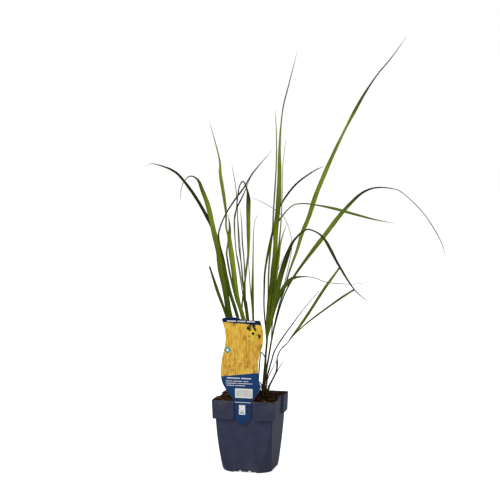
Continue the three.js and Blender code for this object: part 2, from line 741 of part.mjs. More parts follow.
function bladeSolid({ width, turn, path, from }, sheath) {
  const root = from === undefined ? sheath.slice(-2) : [sheath[from]];
  const rooted = [...root, ...path];
  const stations = stationsOn(curveThrough(rooted), (rooted.length - 1) * stepsPerSpan);
  const halfThick = bladeThickness / 2;
  const section = [[-0.5, 0, halfThick], [0, 1, halfThick], [0.5, 0, halfThick]];
  const ring = [...section, ...section.map(([s, keel]) => [s, keel, -halfThick]).reverse()];
  return loft(
    stations.map((station) => {
      const { normal, across } = frameAt(station, listed(turn, station.share));
      const wide = Math.max(listed(width, station.share), bladeTipWidth);
      return ring.map(([s, keel, lift]) =>
        station.point
          .clone()
          .addScaledVector(across, s * wide)
          .addScaledVector(normal, lift - keel * bladeFold * wide),
      );
    }),
    3,
  );
}

// The assembly
const group = new THREE.Group();
const holes = [];
for (const { name, sheathRadius, sheath, blades } of shoots) {
  const slender = blades.length === 0;
  const stem = sheathSolid(sheath, sheathRadius, slender);
  const shoot = union([stem, ...blades.map((blade) => bladeSolid(blade, sheath))]);
  group.add(meshFrom(name, shoot, slender ? stalkBrown : leafGreen));
  holes.push(sheathSolid(sheath, sheathRadius, slender, clearance));
}
group.add(meshFrom("pot", buildPot(), potPlastic));
group.add(meshFrom("soil", buildSoil(holes), soilBrown));
group.add(meshFrom("label", buildLabel(), labelCard));

export default group;
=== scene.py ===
import json
import math
import random
from collections import defaultdict

import bpy
import bmesh
from mathutils import Matrix, Vector, noise

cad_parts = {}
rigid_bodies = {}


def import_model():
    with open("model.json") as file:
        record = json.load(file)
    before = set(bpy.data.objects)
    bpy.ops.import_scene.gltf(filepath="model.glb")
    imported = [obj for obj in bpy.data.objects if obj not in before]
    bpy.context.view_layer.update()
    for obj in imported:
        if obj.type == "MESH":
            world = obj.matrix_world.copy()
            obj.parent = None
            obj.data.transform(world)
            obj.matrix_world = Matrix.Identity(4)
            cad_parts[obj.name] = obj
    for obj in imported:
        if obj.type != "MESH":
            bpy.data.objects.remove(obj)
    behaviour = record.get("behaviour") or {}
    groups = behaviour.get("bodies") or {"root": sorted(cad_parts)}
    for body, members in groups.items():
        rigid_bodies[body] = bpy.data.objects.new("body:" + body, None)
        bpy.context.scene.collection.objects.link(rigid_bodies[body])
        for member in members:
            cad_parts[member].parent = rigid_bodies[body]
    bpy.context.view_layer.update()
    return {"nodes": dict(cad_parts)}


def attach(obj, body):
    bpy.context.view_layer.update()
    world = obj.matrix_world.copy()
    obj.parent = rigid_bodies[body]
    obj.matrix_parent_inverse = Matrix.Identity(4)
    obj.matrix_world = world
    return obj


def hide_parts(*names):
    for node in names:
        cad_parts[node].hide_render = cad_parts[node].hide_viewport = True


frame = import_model()
print("frame loaded: %d nodes" % len(frame["nodes"]))

# A young clump of tall moor grass in its square nursery pot, with the plant label on the front.
# Sizes in the dictionaries are millimetres and degrees, and meshes are made in metres.

mm = 0.001


# Small helpers for node trees. What feeds a socket is a number, a colour or another node's output.

class Term:  # a node's output, which can stand in a sum
    def __init__(self, socket):
        self.socket = socket
        self.tree = socket.id_data

    def __add__(self, other):
        return calc("ADD", self, other)

    def __sub__(self, other):
        return calc("SUBTRACT", self, other)

    def __rsub__(self, other):
        return calc("SUBTRACT", other, self)

    def __mul__(self, other):
        return calc("MULTIPLY", self, other)

    def __abs__(self):
        return calc("ABSOLUTE", self)


def feed(term, socket):
    if isinstance(term, Term):
        term.tree.links.new(term.socket, socket)
    elif term is not None:
        socket.default_value = term


def feedAll(node, **terms):
    for key, term in terms.items():
        feed(term, node.inputs[key.replace("_", " ")])


def addNode(tree, kind, *terms, inputs=None, **settings):  # terms go to the node's inputs in order
    node = tree.nodes.new(kind)
    for key, value in settings.items():
        setattr(node, key, value)
    for socket, term in zip([socket for socket in node.inputs if socket.enabled], terms):
        feed(term, socket)
    feedAll(node, **(inputs or {}))
    return [Term(socket) for socket in node.outputs if socket.enabled]


def addAfter(kind, *terms, **settings):  # a node in the tree that its terms come from
    tree = next(term.tree for term in terms if isinstance(term, Term))
    return addNode(tree, kind, *terms, **settings)


def calc(operation, *terms, clamp=False):
    return addAfter("ShaderNodeMath", *terms, operation=operation, use_clamp=clamp)[0]


def vec(operation, *terms):
    return addAfter("ShaderNodeVectorMath", *terms, operation=operation)[0]


def split(place):
    return addAfter("ShaderNodeSeparateXYZ", place)


def remap(value, low, high, newLow=0.0, newHigh=1.0, smooth=True):
    return addAfter("ShaderNodeMapRange", value, low, high, newLow, newHigh,
                    interpolation_type="SMOOTHSTEP" if smooth else "LINEAR")[0]


def fall(value, low, high):  # 1 below, 0 above
    return remap(value, low, high, 1.0, 0.0)


def blend(share, first, second):
    return addAfter("ShaderNodeMix", share, first, second, data_type="RGBA")[0]


def noiseAt(place, scale, detail=3.0, roughness=0.55, distortion=0.0):  # three scales stretch it
    if isinstance(scale, tuple):
        place, scale = vec("MULTIPLY", place, scale), 1.0
    return addNode(place.tree, "ShaderNodeTexNoise", inputs={
        "Vector": place, "Scale": scale, "Detail": detail, "Roughness": roughness,
        "Distortion": distortion})[0]


def colorRamp(share, stops):
    node = share.tree.nodes.new("ShaderNodeValToRGB")
    while len(node.color_ramp.elements) < len(stops):
        node.color_ramp.elements.new(0.5)
    for element, (position, color) in zip(node.color_ramp.elements, stops):
        element.position, element.color = position, color
    feed(share, node.inputs["Fac"])
    return Term(node.outputs["Color"])


def attribute(tree, name):
    return Term(addNode(tree, "ShaderNodeAttribute", attribute_name=name)[0].socket.node.outputs["Fac"])


def objectPlace(tree):
    return Term(tree.nodes.new("ShaderNodeTexCoord").outputs["Object"])


def newMaterial(name, specular, roughness=0.5):
    material = bpy.data.materials.new(name)
    material.use_nodes = True
    shader = material.node_tree.nodes["Principled BSDF"]
    shader.inputs["Roughness"].default_value = roughness
    shader.inputs["Specular IOR Level"].default_value = specular
    return material, material.node_tree, shader


def finishSurface(s, shader, grain, color, rougher=None, height=None):
    bump = addNode(grain["Height"].tree, "ShaderNodeBump", inputs={
        "Strength": s["bump"][0], "Distance": s["bump"][1] * mm, "Height": height or grain["Height"]})
    roughness = grain["Roughness"] + rougher if rougher else grain["Roughness"]
    feedAll(shader, Base_Color=color, Roughness=roughness, Normal=bump[0])


def newGroup(name, kind, inputs, outputs):  # a socket has its value here, or the name of its type
    group = bpy.data.node_groups.new(name, kind + "NodeTree")
    for side, sockets in (("INPUT", inputs), ("OUTPUT", outputs)):
        for key, value in sockets.items():
            sort = value if isinstance(value, str) else {int: "Int", float: "Float"}[type(value)]
            socket = group.interface.new_socket(name=key, in_out=side, socket_type="NodeSocket" + sort)
            if sort != value:
                socket.default_value = value
    given = {socket.name: Term(socket) for socket in group.nodes.new("NodeGroupInput").outputs if socket.name}
    return group, given, group.nodes.new("NodeGroupOutput")


def useGroup(group, place, values):
    node = place.tree.nodes.new("ShaderNodeGroup")
    node.node_tree = group
    feedAll(node, Place=place, **values)
    return {socket.name: Term(socket) for socket in node.outputs}


def readNamed(group, name, kind="FLOAT"):
    return addNode(group, "GeometryNodeInputNamedAttribute", name, data_type=kind)[0]


def storeNamed(geometry, name, value, **settings):
    return addNode(geometry.tree, "GeometryNodeStoreNamedAttribute", inputs={
        "Geometry": geometry, "Name": name, "Value": value}, **settings)[0]


def endTree(geometry, given, out):
    real = addNode(geometry.tree, "GeometryNodeRealizeInstances", geometry)[0]
    paint = addNode(geometry.tree, "GeometryNodeSetMaterial", inputs={
        "Geometry": real, "Material": given["Material"]})[0]
    feed(paint, out.inputs["Geometry"])


# Small helpers for meshes

def meshObject(name, points, faces=(), edges=(), material=None, smooth=True):
    mesh = bpy.data.meshes.new(name)
    mesh.from_pydata([Vector(p) * mm for p in points], edges, faces)
    mesh.update()
    if smooth and faces:
        mesh.shade_smooth()
    if material:
        mesh.materials.append(material)
    piece = bpy.data.objects.new(name, mesh)
    bpy.context.collection.objects.link(piece)
    return piece


def addAttribute(piece, name, kind, values):
    layer = piece.data.attributes.new(name, kind, "POINT")
    if kind == "FLOAT_VECTOR":
        layer.data.foreach_set("vector", [part for value in values for part in value])
    else:
        layer.data.foreach_set("value", values)


def throughModifier(piece, group, values):  # runs a geometry tree on a piece and keeps the plain mesh
    modifier = piece.modifiers.new(group.name, "NODES")
    modifier.node_group = group
    for item in group.interface.items_tree:
        if item.in_out == "INPUT" and item.name in values:
            modifier[item.identifier] = values[item.name]
    return bake(piece)


def bake(piece):
    bpy.context.view_layer.update()
    graph = bpy.context.evaluated_depsgraph_get()
    plain = bpy.data.meshes.new_from_object(piece.evaluated_get(graph))
    old = piece.data
    piece.modifiers.clear()
    piece.data = plain
    plain.name = piece.name
    bpy.data.meshes.remove(old)
    return piece


def settle(piece, slot, *nodes):  # every piece rides on the one body
    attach(piece, "root")
    if nodes:
        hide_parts(*nodes)
    return piece


def smoothstep(value, low, high):
    share = min(max((value - low) / (high - low), 0.0), 1.0)
    return share * share * (3 - 2 * share)


def mix(first, second, share):
    return first + (second - first) * share


# Camera, light and floor

cameraSet = {
    "turn": 13.54,       # round the pot, from its labelled face
    "distance": 2500,    # along the ground
    "height": 607,
    "aside": -1,
    "tilt": 84.96,       # up from straight down
    "lens": 103.18,
    "sensor": 36,
}

lightSet = {
    "skyStrength": 0.4,
    "lamps": [
        {"name": "keyLamp", "place": (-1500, -1500, 2300), "size": 1500, "power": 40},
        {"name": "fillLamp", "place": (1900, -1300, 1200), "size": 1500, "power": 7},
        {"name": "backLamp", "place": (400, 1900, 1900), "size": 1600, "power": 14},
    ],
    "aim": (50, 0, 330),
    "floorSize": 60000,
    "floorShade": 0.9,
    "floorGlow": 0.66,   # as the camera sees it
    "floorBounce": 0.06, # as the plant sees it
}


def buildCamera(s):
    turn = math.radians(s["turn"])
    data = bpy.data.cameras.new("camera")
    data.lens = s["lens"]
    data.sensor_width = s["sensor"]
    data.clip_end = 100
    camera = bpy.data.objects.new("camera", data)
    bpy.context.collection.objects.link(camera)
    camera.location = Matrix.Rotation(turn, 3, "Z") @ Vector((s["aside"], -s["distance"], s["height"])) * mm
    camera.rotation_euler = (math.radians(s["tilt"]), 0, turn)
    bpy.context.scene.camera = camera


def buildLight(s):
    world = bpy.data.worlds.new("studio")
    world.use_nodes = True
    tree = world.node_tree
    sky = tree.nodes["Background"]
    feedAll(sky, Color=(1, 1, 1, 1), Strength=s["skyStrength"])
    white = addNode(tree, "ShaderNodeBackground", (1, 1, 1, 1))[0]
    seen = tree.nodes.new("ShaderNodeLightPath").outputs["Is Camera Ray"]
    both = addNode(tree, "ShaderNodeMixShader", Term(seen), Term(sky.outputs[0]), white)[0]
    feedAll(tree.nodes["World Output"], Surface=both)
    bpy.context.scene.world = world
    for lamp in s["lamps"]:
        data = bpy.data.lights.new(lamp["name"], "AREA")
        data.shape = "DISK"
        data.size = lamp["size"] * mm
        data.energy = lamp["power"]
        light = bpy.data.objects.new(lamp["name"], data)
        bpy.context.collection.objects.link(light)
        light.location = Vector(lamp["place"]) * mm
        away = Vector(lamp["place"]) - Vector(s["aim"])
        light.rotation_euler = away.to_track_quat("Z", "Y").to_euler()
    material, tree, shader = newMaterial("paleFloor", 0.5, roughness=0.9)
    seen = tree.nodes.new("ShaderNodeLightPath").outputs["Is Camera Ray"]
    glow = remap(Term(seen), 0.0, 1.0, s["floorBounce"], s["floorGlow"], smooth=False)
    feedAll(shader, Base_Color=(s["floorShade"],) * 3 + (1,), Emission_Color=(1, 1, 1, 1),
            Emission_Strength=glow)
    half = s["floorSize"] / 2
    corners = [(-half, -half, 0), (half, -half, 0), (half, half, 0), (-half, half, 0)]
    meshObject("floor", corners, [(0, 1, 2, 3)], material=material, smooth=False)
    bpy.context.scene.view_settings.view_transform = "Standard"


buildCamera(cameraSet)
buildLight(lightSet)
print("camera, light and floor made")


# Shared surface effects

def buildFineGrain():  # the fine unevenness of moulded, printed and grown surfaces
    group, given, out = newGroup(
        "fineGrain", "Shader", {"Place": "Vector", "Scale": 900.0, "Base Roughness": 0.5, "Spread": 0.1},
        {"Height": "Float", "Roughness": "Float", "Tone": "Float"})
    fine = noiseAt(given["Place"], given["Scale"], detail=4)
    broad = noiseAt(given["Place"], given["Scale"] * 0.04)
    roughness = given["Base Roughness"] + (fine + broad - 1.0) * given["Spread"]
    feedAll(out, Height=fine, Roughness=roughness, Tone=broad)
    return group


def buildSoilDust():  # compost dust, thickest at a given height and thinning out away from it
    group, given, out = newGroup(
        "soilDust", "Shader", {"Place": "Vector", "Level": 0.125, "Reach": 0.02, "Amount": 0.5},
        {"Mask": "Float"})
    place = given["Place"]
    near = fall(calc("DIVIDE", abs(split(place)[2] - given["Level"]), given["Reach"]), 0.0, 1.0)
    specks = remap(noiseAt(place, 700.0, detail=5, roughness=0.7), 0.55, 0.72)
    smears = remap(noiseAt(place, 60.0, detail=4), 0.4, 0.7)
    both = (specks + smears * 0.4) * near
    feedAll(out, Mask=calc("MULTIPLY", both, given["Amount"], clamp=True))
    return group


fineGrain = buildFineGrain()
soilDust = buildSoilDust()


# The pot: one moulded shell. Its body tapers and grows rounder towards the base, and four corner
# panels stand out as a collar, parted by a recess on each side.

potSet = {
    "height": 128.6, "topSide": 105.8, "baseSide": 90.2,
    "topCorner": 2, "baseCorner": 24, "roundTo": 80, "rounding": 1.8,
    "baseTuck": 0.8, "tuckHeight": 12, "baseEdge": 1.6,
    "wall": 1.4, "floor": 3,
    "collarHeight": 33, "collarTop": 113.4, "collarBottom": 111, "collarCorner": 3,
    "recessHalf": 17, "recessFillet": 5, "step": 0.55, "rimRound": 0.55,
    "footHeight": 1.8, "footGap": 42, "padRadius": 14,
    "notchWidth": 5.5, "notchHeight": 4.5, "notchDepth": 16, "notchOffset": 8.5,
    "holeRadius": 4, "holeOffset": 27,
    "arcSteps": 7, "crease": 11,
    "color": (0.048, 0.054, 0.094, 1), "dustColor": (0.16, 0.12, 0.09, 1),
    # the corner colour and share are painted shade on the rounded lower corners
    "scuffAndSheenColor": (0.12, 0.135, 0.19, 1), "cornerShadeColor": (0.027, 0.032, 0.067, 1),
    # the scuff colour and share are partly wear and partly painted sheen
    "holeSides": 40, "cornerShadeShare": 0.45, "scuffAndSheenShare": 0.35, "specular": 0.03, "bump": (0.25, 0.12),
    "grain": {"Scale": 1500.0, "Base_Roughness": 0.5, "Spread": 0.16},
    "dust": [{"Level": 0.128, "Reach": 0.022, "Amount": 0.55}, {"Level": 0.0, "Reach": 0.03, "Amount": 0.35}],
}


def cornerArc(straight, radius, crease):  # centre, radius and half the turn of a corner's arc
    ease = math.pi / 4 - math.radians(crease)
    wide = radius * math.sqrt(0.5) / math.sin(ease)
    return straight + radius / 2 - wide * math.cos(ease) * math.sqrt(0.5), wide, ease


def roundedOutline(half, radius, along, arcSteps, stay, full, crease):
    # Points of one square outline. The straight stretch has a point at each place in along, which
    # stays where it is near a side's middle and is drawn in further out, where the corner is rounder.
    # A corner starts with a slight crease, in degrees, and its arc is flatter for it.
    straight = half - radius
    middle, wide, ease = cornerArc(straight, radius, crease)
    inner = min(stay, straight)
    side = []
    for x in along:
        size = abs(x)
        if size <= stay:
            size = size * inner / stay
        else:
            size = mix(inner, straight, (size - stay) / (full - stay))
        side.append(math.copysign(size, x))
    points = []
    for turn in range(4):
        spin = Matrix.Rotation(turn * math.pi / 2, 2)
        points += [spin @ Vector((x, -half)) for x in side]
        for share in [0.03] + [i / arcSteps for i in range(1, arcSteps)] + [0.97]:
            bend = (2 * share - 1) * ease - math.pi / 4
            points.append(spin @ Vector((middle + math.cos(bend) * wide, -middle + math.sin(bend) * wide)))
    return points


def panelMask(s, x, z, inset):  # 1 on a collar panel, 0 on the body, with a short step between
    fillet = s["recessFillet"]
    right = s["recessHalf"] + inset + fillet - abs(x)
    up = s["height"] - s["collarHeight"] + inset + fillet - z
    if right > 0 and up > 0:
        away = math.hypot(right, up) - fillet
    else:
        away = max(right, up) - fillet
    return 1 - smoothstep(away, 0, s["step"])


def bodyHalf(s, z):  # half the body's width, tucked in a little at its lowest edge
    tuck = s["baseTuck"] * max(1 - z / s["tuckHeight"], 0) ** 2
    return mix(s["baseSide"], s["topSide"], min(z / s["height"], 1)) / 2 - tuck


def bodyCorner(s, z):  # sharp from the collar down to roundTo, then rounder towards the base
    return mix(s["topCorner"], s["baseCorner"], max(1 - z / s["roundTo"], 0) ** s["rounding"])


def potRing(s, z, inset):
    half = bodyHalf(s, z) - inset
    corner = max(bodyCorner(s, z) - inset, 1)
    up = (z - s["height"] + s["collarHeight"]) / s["collarHeight"]
    collarHalf = mix(s["collarBottom"], s["collarTop"], up) / 2 - inset
    collarCorner = max(s["collarCorner"] - inset, 1)
    stay = s["recessHalf"] + s["recessFillet"] + 2
    full = s["topSide"] / 2 - s["topCorner"]
    body = roundedOutline(half, corner, s["along"], s["arcSteps"], stay, full, s["crease"])
    collar = roundedOutline(collarHalf, collarCorner, s["along"], s["arcSteps"], stay, full, 0)
    ring = []
    for low, high in zip(body, collar):
        x = min(abs(high.x), abs(high.y))
        share = panelMask(s, x, z, inset)
        point = low.lerp(high, share)
        ring.append((point.x, point.y, z))
    return ring


def loftFaces(rings, count):
    faces = []
    for i in range(rings - 1):
        for j in range(count):
            k = (j + 1) % count
            faces.append((i * count + j, i * count + k, (i + 1) * count + k, (i + 1) * count + j))
    faces.append(tuple(reversed(range(count))))
    faces.append(tuple((rings - 1) * count + j for j in range(count)))
    return faces


def cutAway(piece, cutters):
    for cutter in cutters:
        modifier = piece.modifiers.new("cut", "BOOLEAN")
        modifier.operation = "DIFFERENCE"
        modifier.solver = "EXACT"
        modifier.object = cutter
    bake(piece)
    for cutter in cutters:
        bpy.data.objects.remove(cutter)


def boxCutter(low, high):
    points = [(x, y, z) for z in (low[2], high[2]) for y in (low[1], high[1]) for x in (low[0], high[0])]
    faces = [(0, 2, 3, 1), (4, 5, 7, 6), (0, 1, 5, 4), (2, 6, 7, 3), (0, 4, 6, 2), (1, 3, 7, 5)]
    return meshObject("cutter", points, faces)


def roundCutter(s, x, y, low, high):
    sides, radius = s["holeSides"], s["holeRadius"]
    turns = [i / sides * 2 * math.pi for i in range(sides)]
    points = [(x + math.cos(t) * radius, y + math.sin(t) * radius, z) for z in (low, high) for t in turns]
    return meshObject("cutter", points, loftFaces(2, sides))


def stepPlaces(s):  # where a side has its points: close at the recess, wider elsewhere
    half = s["topSide"] / 2 - s["topCorner"]
    edge = s["recessHalf"]
    places = [0, 5, 10, 14, 15.5]
    places += [edge - s["step"] + i * s["step"] / 4 for i in range(0, 9)]
    places += [edge + s["step"] + i * 0.6 for i in range(1, 9)]
    places += [edge + s["step"] + 7, edge + s["step"] + 10, edge + s["step"] + 15, half - 0.8, half]
    return [-x for x in reversed(places[1:])] + places


def buildPot(s):
    s["along"] = stepPlaces(s)
    collarLow = s["height"] - s["collarHeight"]
    outer = [0.9, 2, 3.5, 5.5, 8, 10.5, 13, 17, 21, 26, 31, 37, 43, 50, 57, 64, 70, 75, 78, 81, 87, 92]
    outer += [collarLow - s["step"] + i * s["step"] / 5 for i in range(0, 11)]
    outer += [collarLow + s["step"] + i * 0.6 for i in range(1, 9)]
    outer += [103, 107, 112, 117, 122, 126, 127.6]
    inner = [z for z in reversed(outer) if z > s["floor"] + s["wall"]]
    rings = [potRing(s, 0, s["baseEdge"])]
    rings += [potRing(s, s["baseEdge"] * (1 - math.cos(b)), s["baseEdge"] * (1 - math.sin(b)))
              for b in (math.pi / 8, math.pi / 4, math.pi * 3 / 8)]
    rings += [potRing(s, z, 0) for z in outer if z > s["baseEdge"]]
    soft = s["rimRound"]
    for i in range(0, 5):  # over the rim, outside and then inside
        bend = i / 4 * math.pi / 2
        rings.append(potRing(s, s["height"] - soft * (1 - math.sin(bend)), soft * (1 - math.cos(bend))))
    for i in range(1, 5):
        bend = i / 4 * math.pi / 2
        rings.append(potRing(s, s["height"] - soft * (1 - math.cos(bend)),
                             s["wall"] - soft * (1 - math.sin(bend))))
    rings += [potRing(s, z, s["wall"]) for z in inner if z < s["height"] - soft]
    rings.append(potRing(s, s["floor"], s["wall"] + 1))
    count = len(rings[0])
    points = [point for ring in rings for point in ring]
    pot = meshObject("potShell", points, loftFaces(len(rings), count))
    far = s["collarTop"]
    gap = s["footGap"] / 2
    cutters = []
    notchInner = s["baseSide"] / 2 - s["notchDepth"]
    for middle in (-s["notchOffset"], s["notchOffset"]):
        low, high = middle - s["notchWidth"] / 2, middle + s["notchWidth"] / 2
        for side in (-1, 1):
            near, away = sorted((side * notchInner, side * far))
            cutters.append(boxCutter((low, near, -1), (high, away, s["notchHeight"])))
            cutters.append(boxCutter((near, low, -1), (away, high, s["notchHeight"])))
    for x, y in ((1, 0), (0, 1), (-1, 0), (0, -1)):
        cutters.append(roundCutter(s, x * s["holeOffset"], y * s["holeOffset"],
                                   -1, s["floor"] + 1))
    pad = s["padRadius"]
    for x in (-1, 1):  # the raised cross between the feet, around the middle pad
        low, high = sorted((x * pad, x * far))
        cutters.append(boxCutter((low, -gap, -1), (high, gap, s["footHeight"])))
        cutters.append(boxCutter((-gap, low, -1), (gap, high, s["footHeight"])))
    cutAway(pot, cutters)
    pot.data.materials.append(potPlastic(s))
    pot.data.shade_smooth()
    pot.data.set_sharp_from_angle(angle=math.radians(38))
    return settle(pot, "pot_plastic", "pot")


def cornerShadeMask(s, place):  # painted shade: 1 on the rounded lower corners, from the crease where each one starts and turns away from the light
    x, y, up = split(vec("SCALE", place, 1 / mm))
    half = remap(up, 0.0, s["height"], s["baseSide"] / 2, s["topSide"] / 2, smooth=False)
    rounder = calc("POWER", remap(up, 0.0, s["roundTo"], 1.0, 0.0, smooth=False), s["rounding"])
    start = half - remap(rounder, 0.0, 1.0, s["topCorner"], s["baseCorner"], smooth=False)
    collarLow = s["height"] - s["collarHeight"]
    past = calc("MINIMUM", abs(x), abs(y)) - start
    return remap(past, -0.1, 0.5) * fall(up, collarLow - 1, collarLow)


def potPlastic(s):
    material, tree, shader = newMaterial("slatePotPlastic", s["specular"])
    place = objectPlace(tree)
    grain = useGroup(fineGrain, place, s["grain"])
    darker = tuple(0.82 * c for c in s["color"][:3]) + (1,)
    color = blend(remap(grain["Tone"], 0.3, 0.7), darker, s["color"])
    # painted shade on the rounded lower corners
    color = blend(cornerShadeMask(s, place) * s["cornerShadeShare"], color, s["cornerShadeColor"])
    # lighter streaks: scuffs and wear, and painted sheen where the moulded plastic catches the light
    streaks = noiseAt(place, (260, 260, 18), detail=5, roughness=0.7)
    color = blend(remap(streaks, 0.62, 0.8) * s["scuffAndSheenShare"], color, s["scuffAndSheenColor"])
    dusty = calc("MAXIMUM", *[useGroup(soilDust, place, dust)["Mask"] for dust in s["dust"]])
    color = blend(dusty, color, s["dustColor"])
    finishSurface(s, shader, grain, color, rougher=dusty * 0.25)
    return material


buildPot(potSet)
print("pot made")


# The soil: compost that fills the pot, a little heaped at the crown and along parts of the rim

soilSet = {
    "level": 124, "lump": 1.3, "crown": 8.5, "crownRadius": 24, "crownCentre": (14, 6),
    "waves": [(0.5, 0.21, 0.17, 0.5), (0.5, 0.21, -0.17, 1.3), (0.7, 0.43, -0.31, 1.7),
              (0.6, 0.36, 0.52, 1.57)],  # share of the height, turns per mm, and phase
    "heaps": [(-44, -32, 4.6, 13), (-43, 12, 5.4, 16), (-34, 42, 3.4, 14), (42, 8, 2.2, 18)],
    "grain": 0.9, "grainScale": 0.28,
    "gap": 0.3, "turns": 240, "rings": 44, "foot": 3.6,
    "sideLevels": [118, 110, 103, 98, 97.3, 96.9, 80, 60, 40, 24, 14, 8],
    "dark": (0.006, 0.004, 0.003, 1), "brown": (0.064, 0.028, 0.010, 1),
    "specular": 0.04, "bump": (0.9, 0.8),
    "grainLook": {"Scale": 1100.0, "Base_Roughness": 0.92, "Spread": 0.1},
}

bitLook = {
    "lowest": 118,
    "stops": [(0.0, (0.007, 0.004, 0.003, 1)), (0.4, (0.030, 0.013, 0.006, 1)),
              (0.66, (0.11, 0.042, 0.012, 1)), (0.86, (0.26, 0.115, 0.032, 1)),
              (1.0, (0.40, 0.24, 0.11, 1))],
    "specular": 0.06, "bump": (0.8, 0.25),
    "grain": {"Scale": 2400.0, "Base_Roughness": 0.85, "Spread": 0.2},
}

bitSets = [
    {"name": "soilCrumbs", "form": (1, 0.85, 0.7), "rough": 0.55, "density": 0.19,
     "small": 0.5, "large": 1.7, "tilt": 3.1, "seed": 3, "tones": (0.0, 0.62)},
    {"name": "barkChips", "form": (1, 0.42, 0.2), "rough": 0.3, "density": 0.022,
     "small": 1.6, "large": 4.0, "tilt": 0.5, "seed": 8, "tones": (0.3, 1.0)},
    {"name": "peatFibres", "form": None, "rough": 0.5, "density": 0.014,
     "small": 3.0, "large": 8.5, "tilt": 0.35, "seed": 14, "tones": (0.35, 1.0)},
]


def soilHeight(s, x, y):
    lumps = sum(share * math.sin(alongX * x + alongY * y + phase)
                for share, alongX, alongY, phase in s["waves"])
    away = math.hypot(x - s["crownCentre"][0], y - s["crownCentre"][1]) / s["crownRadius"]
    heaps = sum(high * math.exp(-((x - cx) ** 2 + (y - cy) ** 2) / far ** 2)
                for cx, cy, high, far in s["heaps"])
    return s["level"] + s["lump"] * lumps + s["crown"] * math.exp(-away * away) + heaps


def insideSquare(x, y, half, corner, crease):
    straight = half - corner
    if min(abs(x), abs(y)) <= straight:
        return max(abs(x), abs(y)) <= half
    middle, wide, _ = cornerArc(straight, corner, crease)
    return math.hypot(abs(x) - middle, abs(y) - middle) <= wide


def insidePot(s, x, y, z, inset):
    if insideSquare(x, y, bodyHalf(s, z) - inset, max(bodyCorner(s, z) - inset, 1), s["crease"]):
        return True
    collarLow = s["height"] - s["collarHeight"]
    if z < collarLow + inset or min(abs(x), abs(y)) < s["recessHalf"] + inset + 0.5:
        return False
    half = mix(s["collarBottom"], s["collarTop"], (z - collarLow) / s["collarHeight"]) / 2 - inset
    return insideSquare(x, y, half, s["collarCorner"] - inset, 0)


def reach(s, angle, z, inset):  # how far the soil goes in one direction
    low, high = 30.0, 30.0
    while insidePot(s, math.cos(angle) * high, math.sin(angle) * high, z, inset):
        low, high = high, high + 0.5
    for _ in range(12):
        middle = (low + high) / 2
        if insidePot(s, math.cos(angle) * middle, math.sin(angle) * middle, z, inset):
            low = middle
        else:
            high = middle
    return low


def buildSoil(s, pot):
    turns = [i / s["turns"] * 2 * math.pi for i in range(s["turns"])]
    inset = pot["wall"] + s["gap"]
    edge = [reach(pot, t, s["level"], inset) for t in turns]
    points = [(0, 0, soilHeight(s, 0, 0))]
    for ring in range(1, s["rings"] + 1):
        if ring < 6:
            share = math.sqrt(ring / s["rings"])
        else:
            share = mix(math.sqrt(5 / s["rings"]), 1, (ring - 5) / (s["rings"] - 5))
        for t, far in zip(turns, edge):
            x, y = math.cos(t) * far * share, math.sin(t) * far * share
            place = Vector((x, y, 0)) * s["grainScale"]
            grain = noise.fractal(place, 0.9, 2.1, 4) * s["grain"]
            points.append((x, y, soilHeight(s, x, y) + grain))
    for z in s["sideLevels"] + [s["foot"]]:
        for t in turns:
            far = reach(pot, t, z, inset)
            points.append((math.cos(t) * far, math.sin(t) * far, z))
    count = s["turns"]
    rows = s["rings"] + len(s["sideLevels"]) + 1
    faces = [(0, 1 + i, 1 + (i + 1) % count) for i in range(count)]
    for row in range(rows - 1):
        for i in range(count):
            k = (i + 1) % count
            low, high = 1 + row * count, 1 + (row + 1) * count
            faces.append((low + i, high + i, high + k, low + k))
    last = 1 + (rows - 1) * count
    faces.append(tuple(last + i for i in reversed(range(count))))
    soil = meshObject("soilBody", points, faces, material=soilMaterial(s))
    return settle(soil, "soil", "soil")


def soilMaterial(s):
    material, tree, shader = newMaterial("compost", s["specular"])
    place = objectPlace(tree)
    tone = remap(noiseAt(place, 260.0, detail=6, roughness=0.7), 0.35, 0.68)
    finishSurface(s, shader, useGroup(fineGrain, place, s["grainLook"]), blend(tone, s["dark"], s["brown"]))
    return material


def bitMaterial(s):
    material, tree, shader = newMaterial("compostBits", s["specular"])
    place = objectPlace(tree)
    streak = noiseAt(place, (1200, 400, 900), detail=4)
    color = colorRamp(attribute(tree, "tone") + (streak - 0.5) * 0.25, s["stops"])
    finishSurface(s, shader, useGroup(fineGrain, place, s["grain"]), color)
    return material


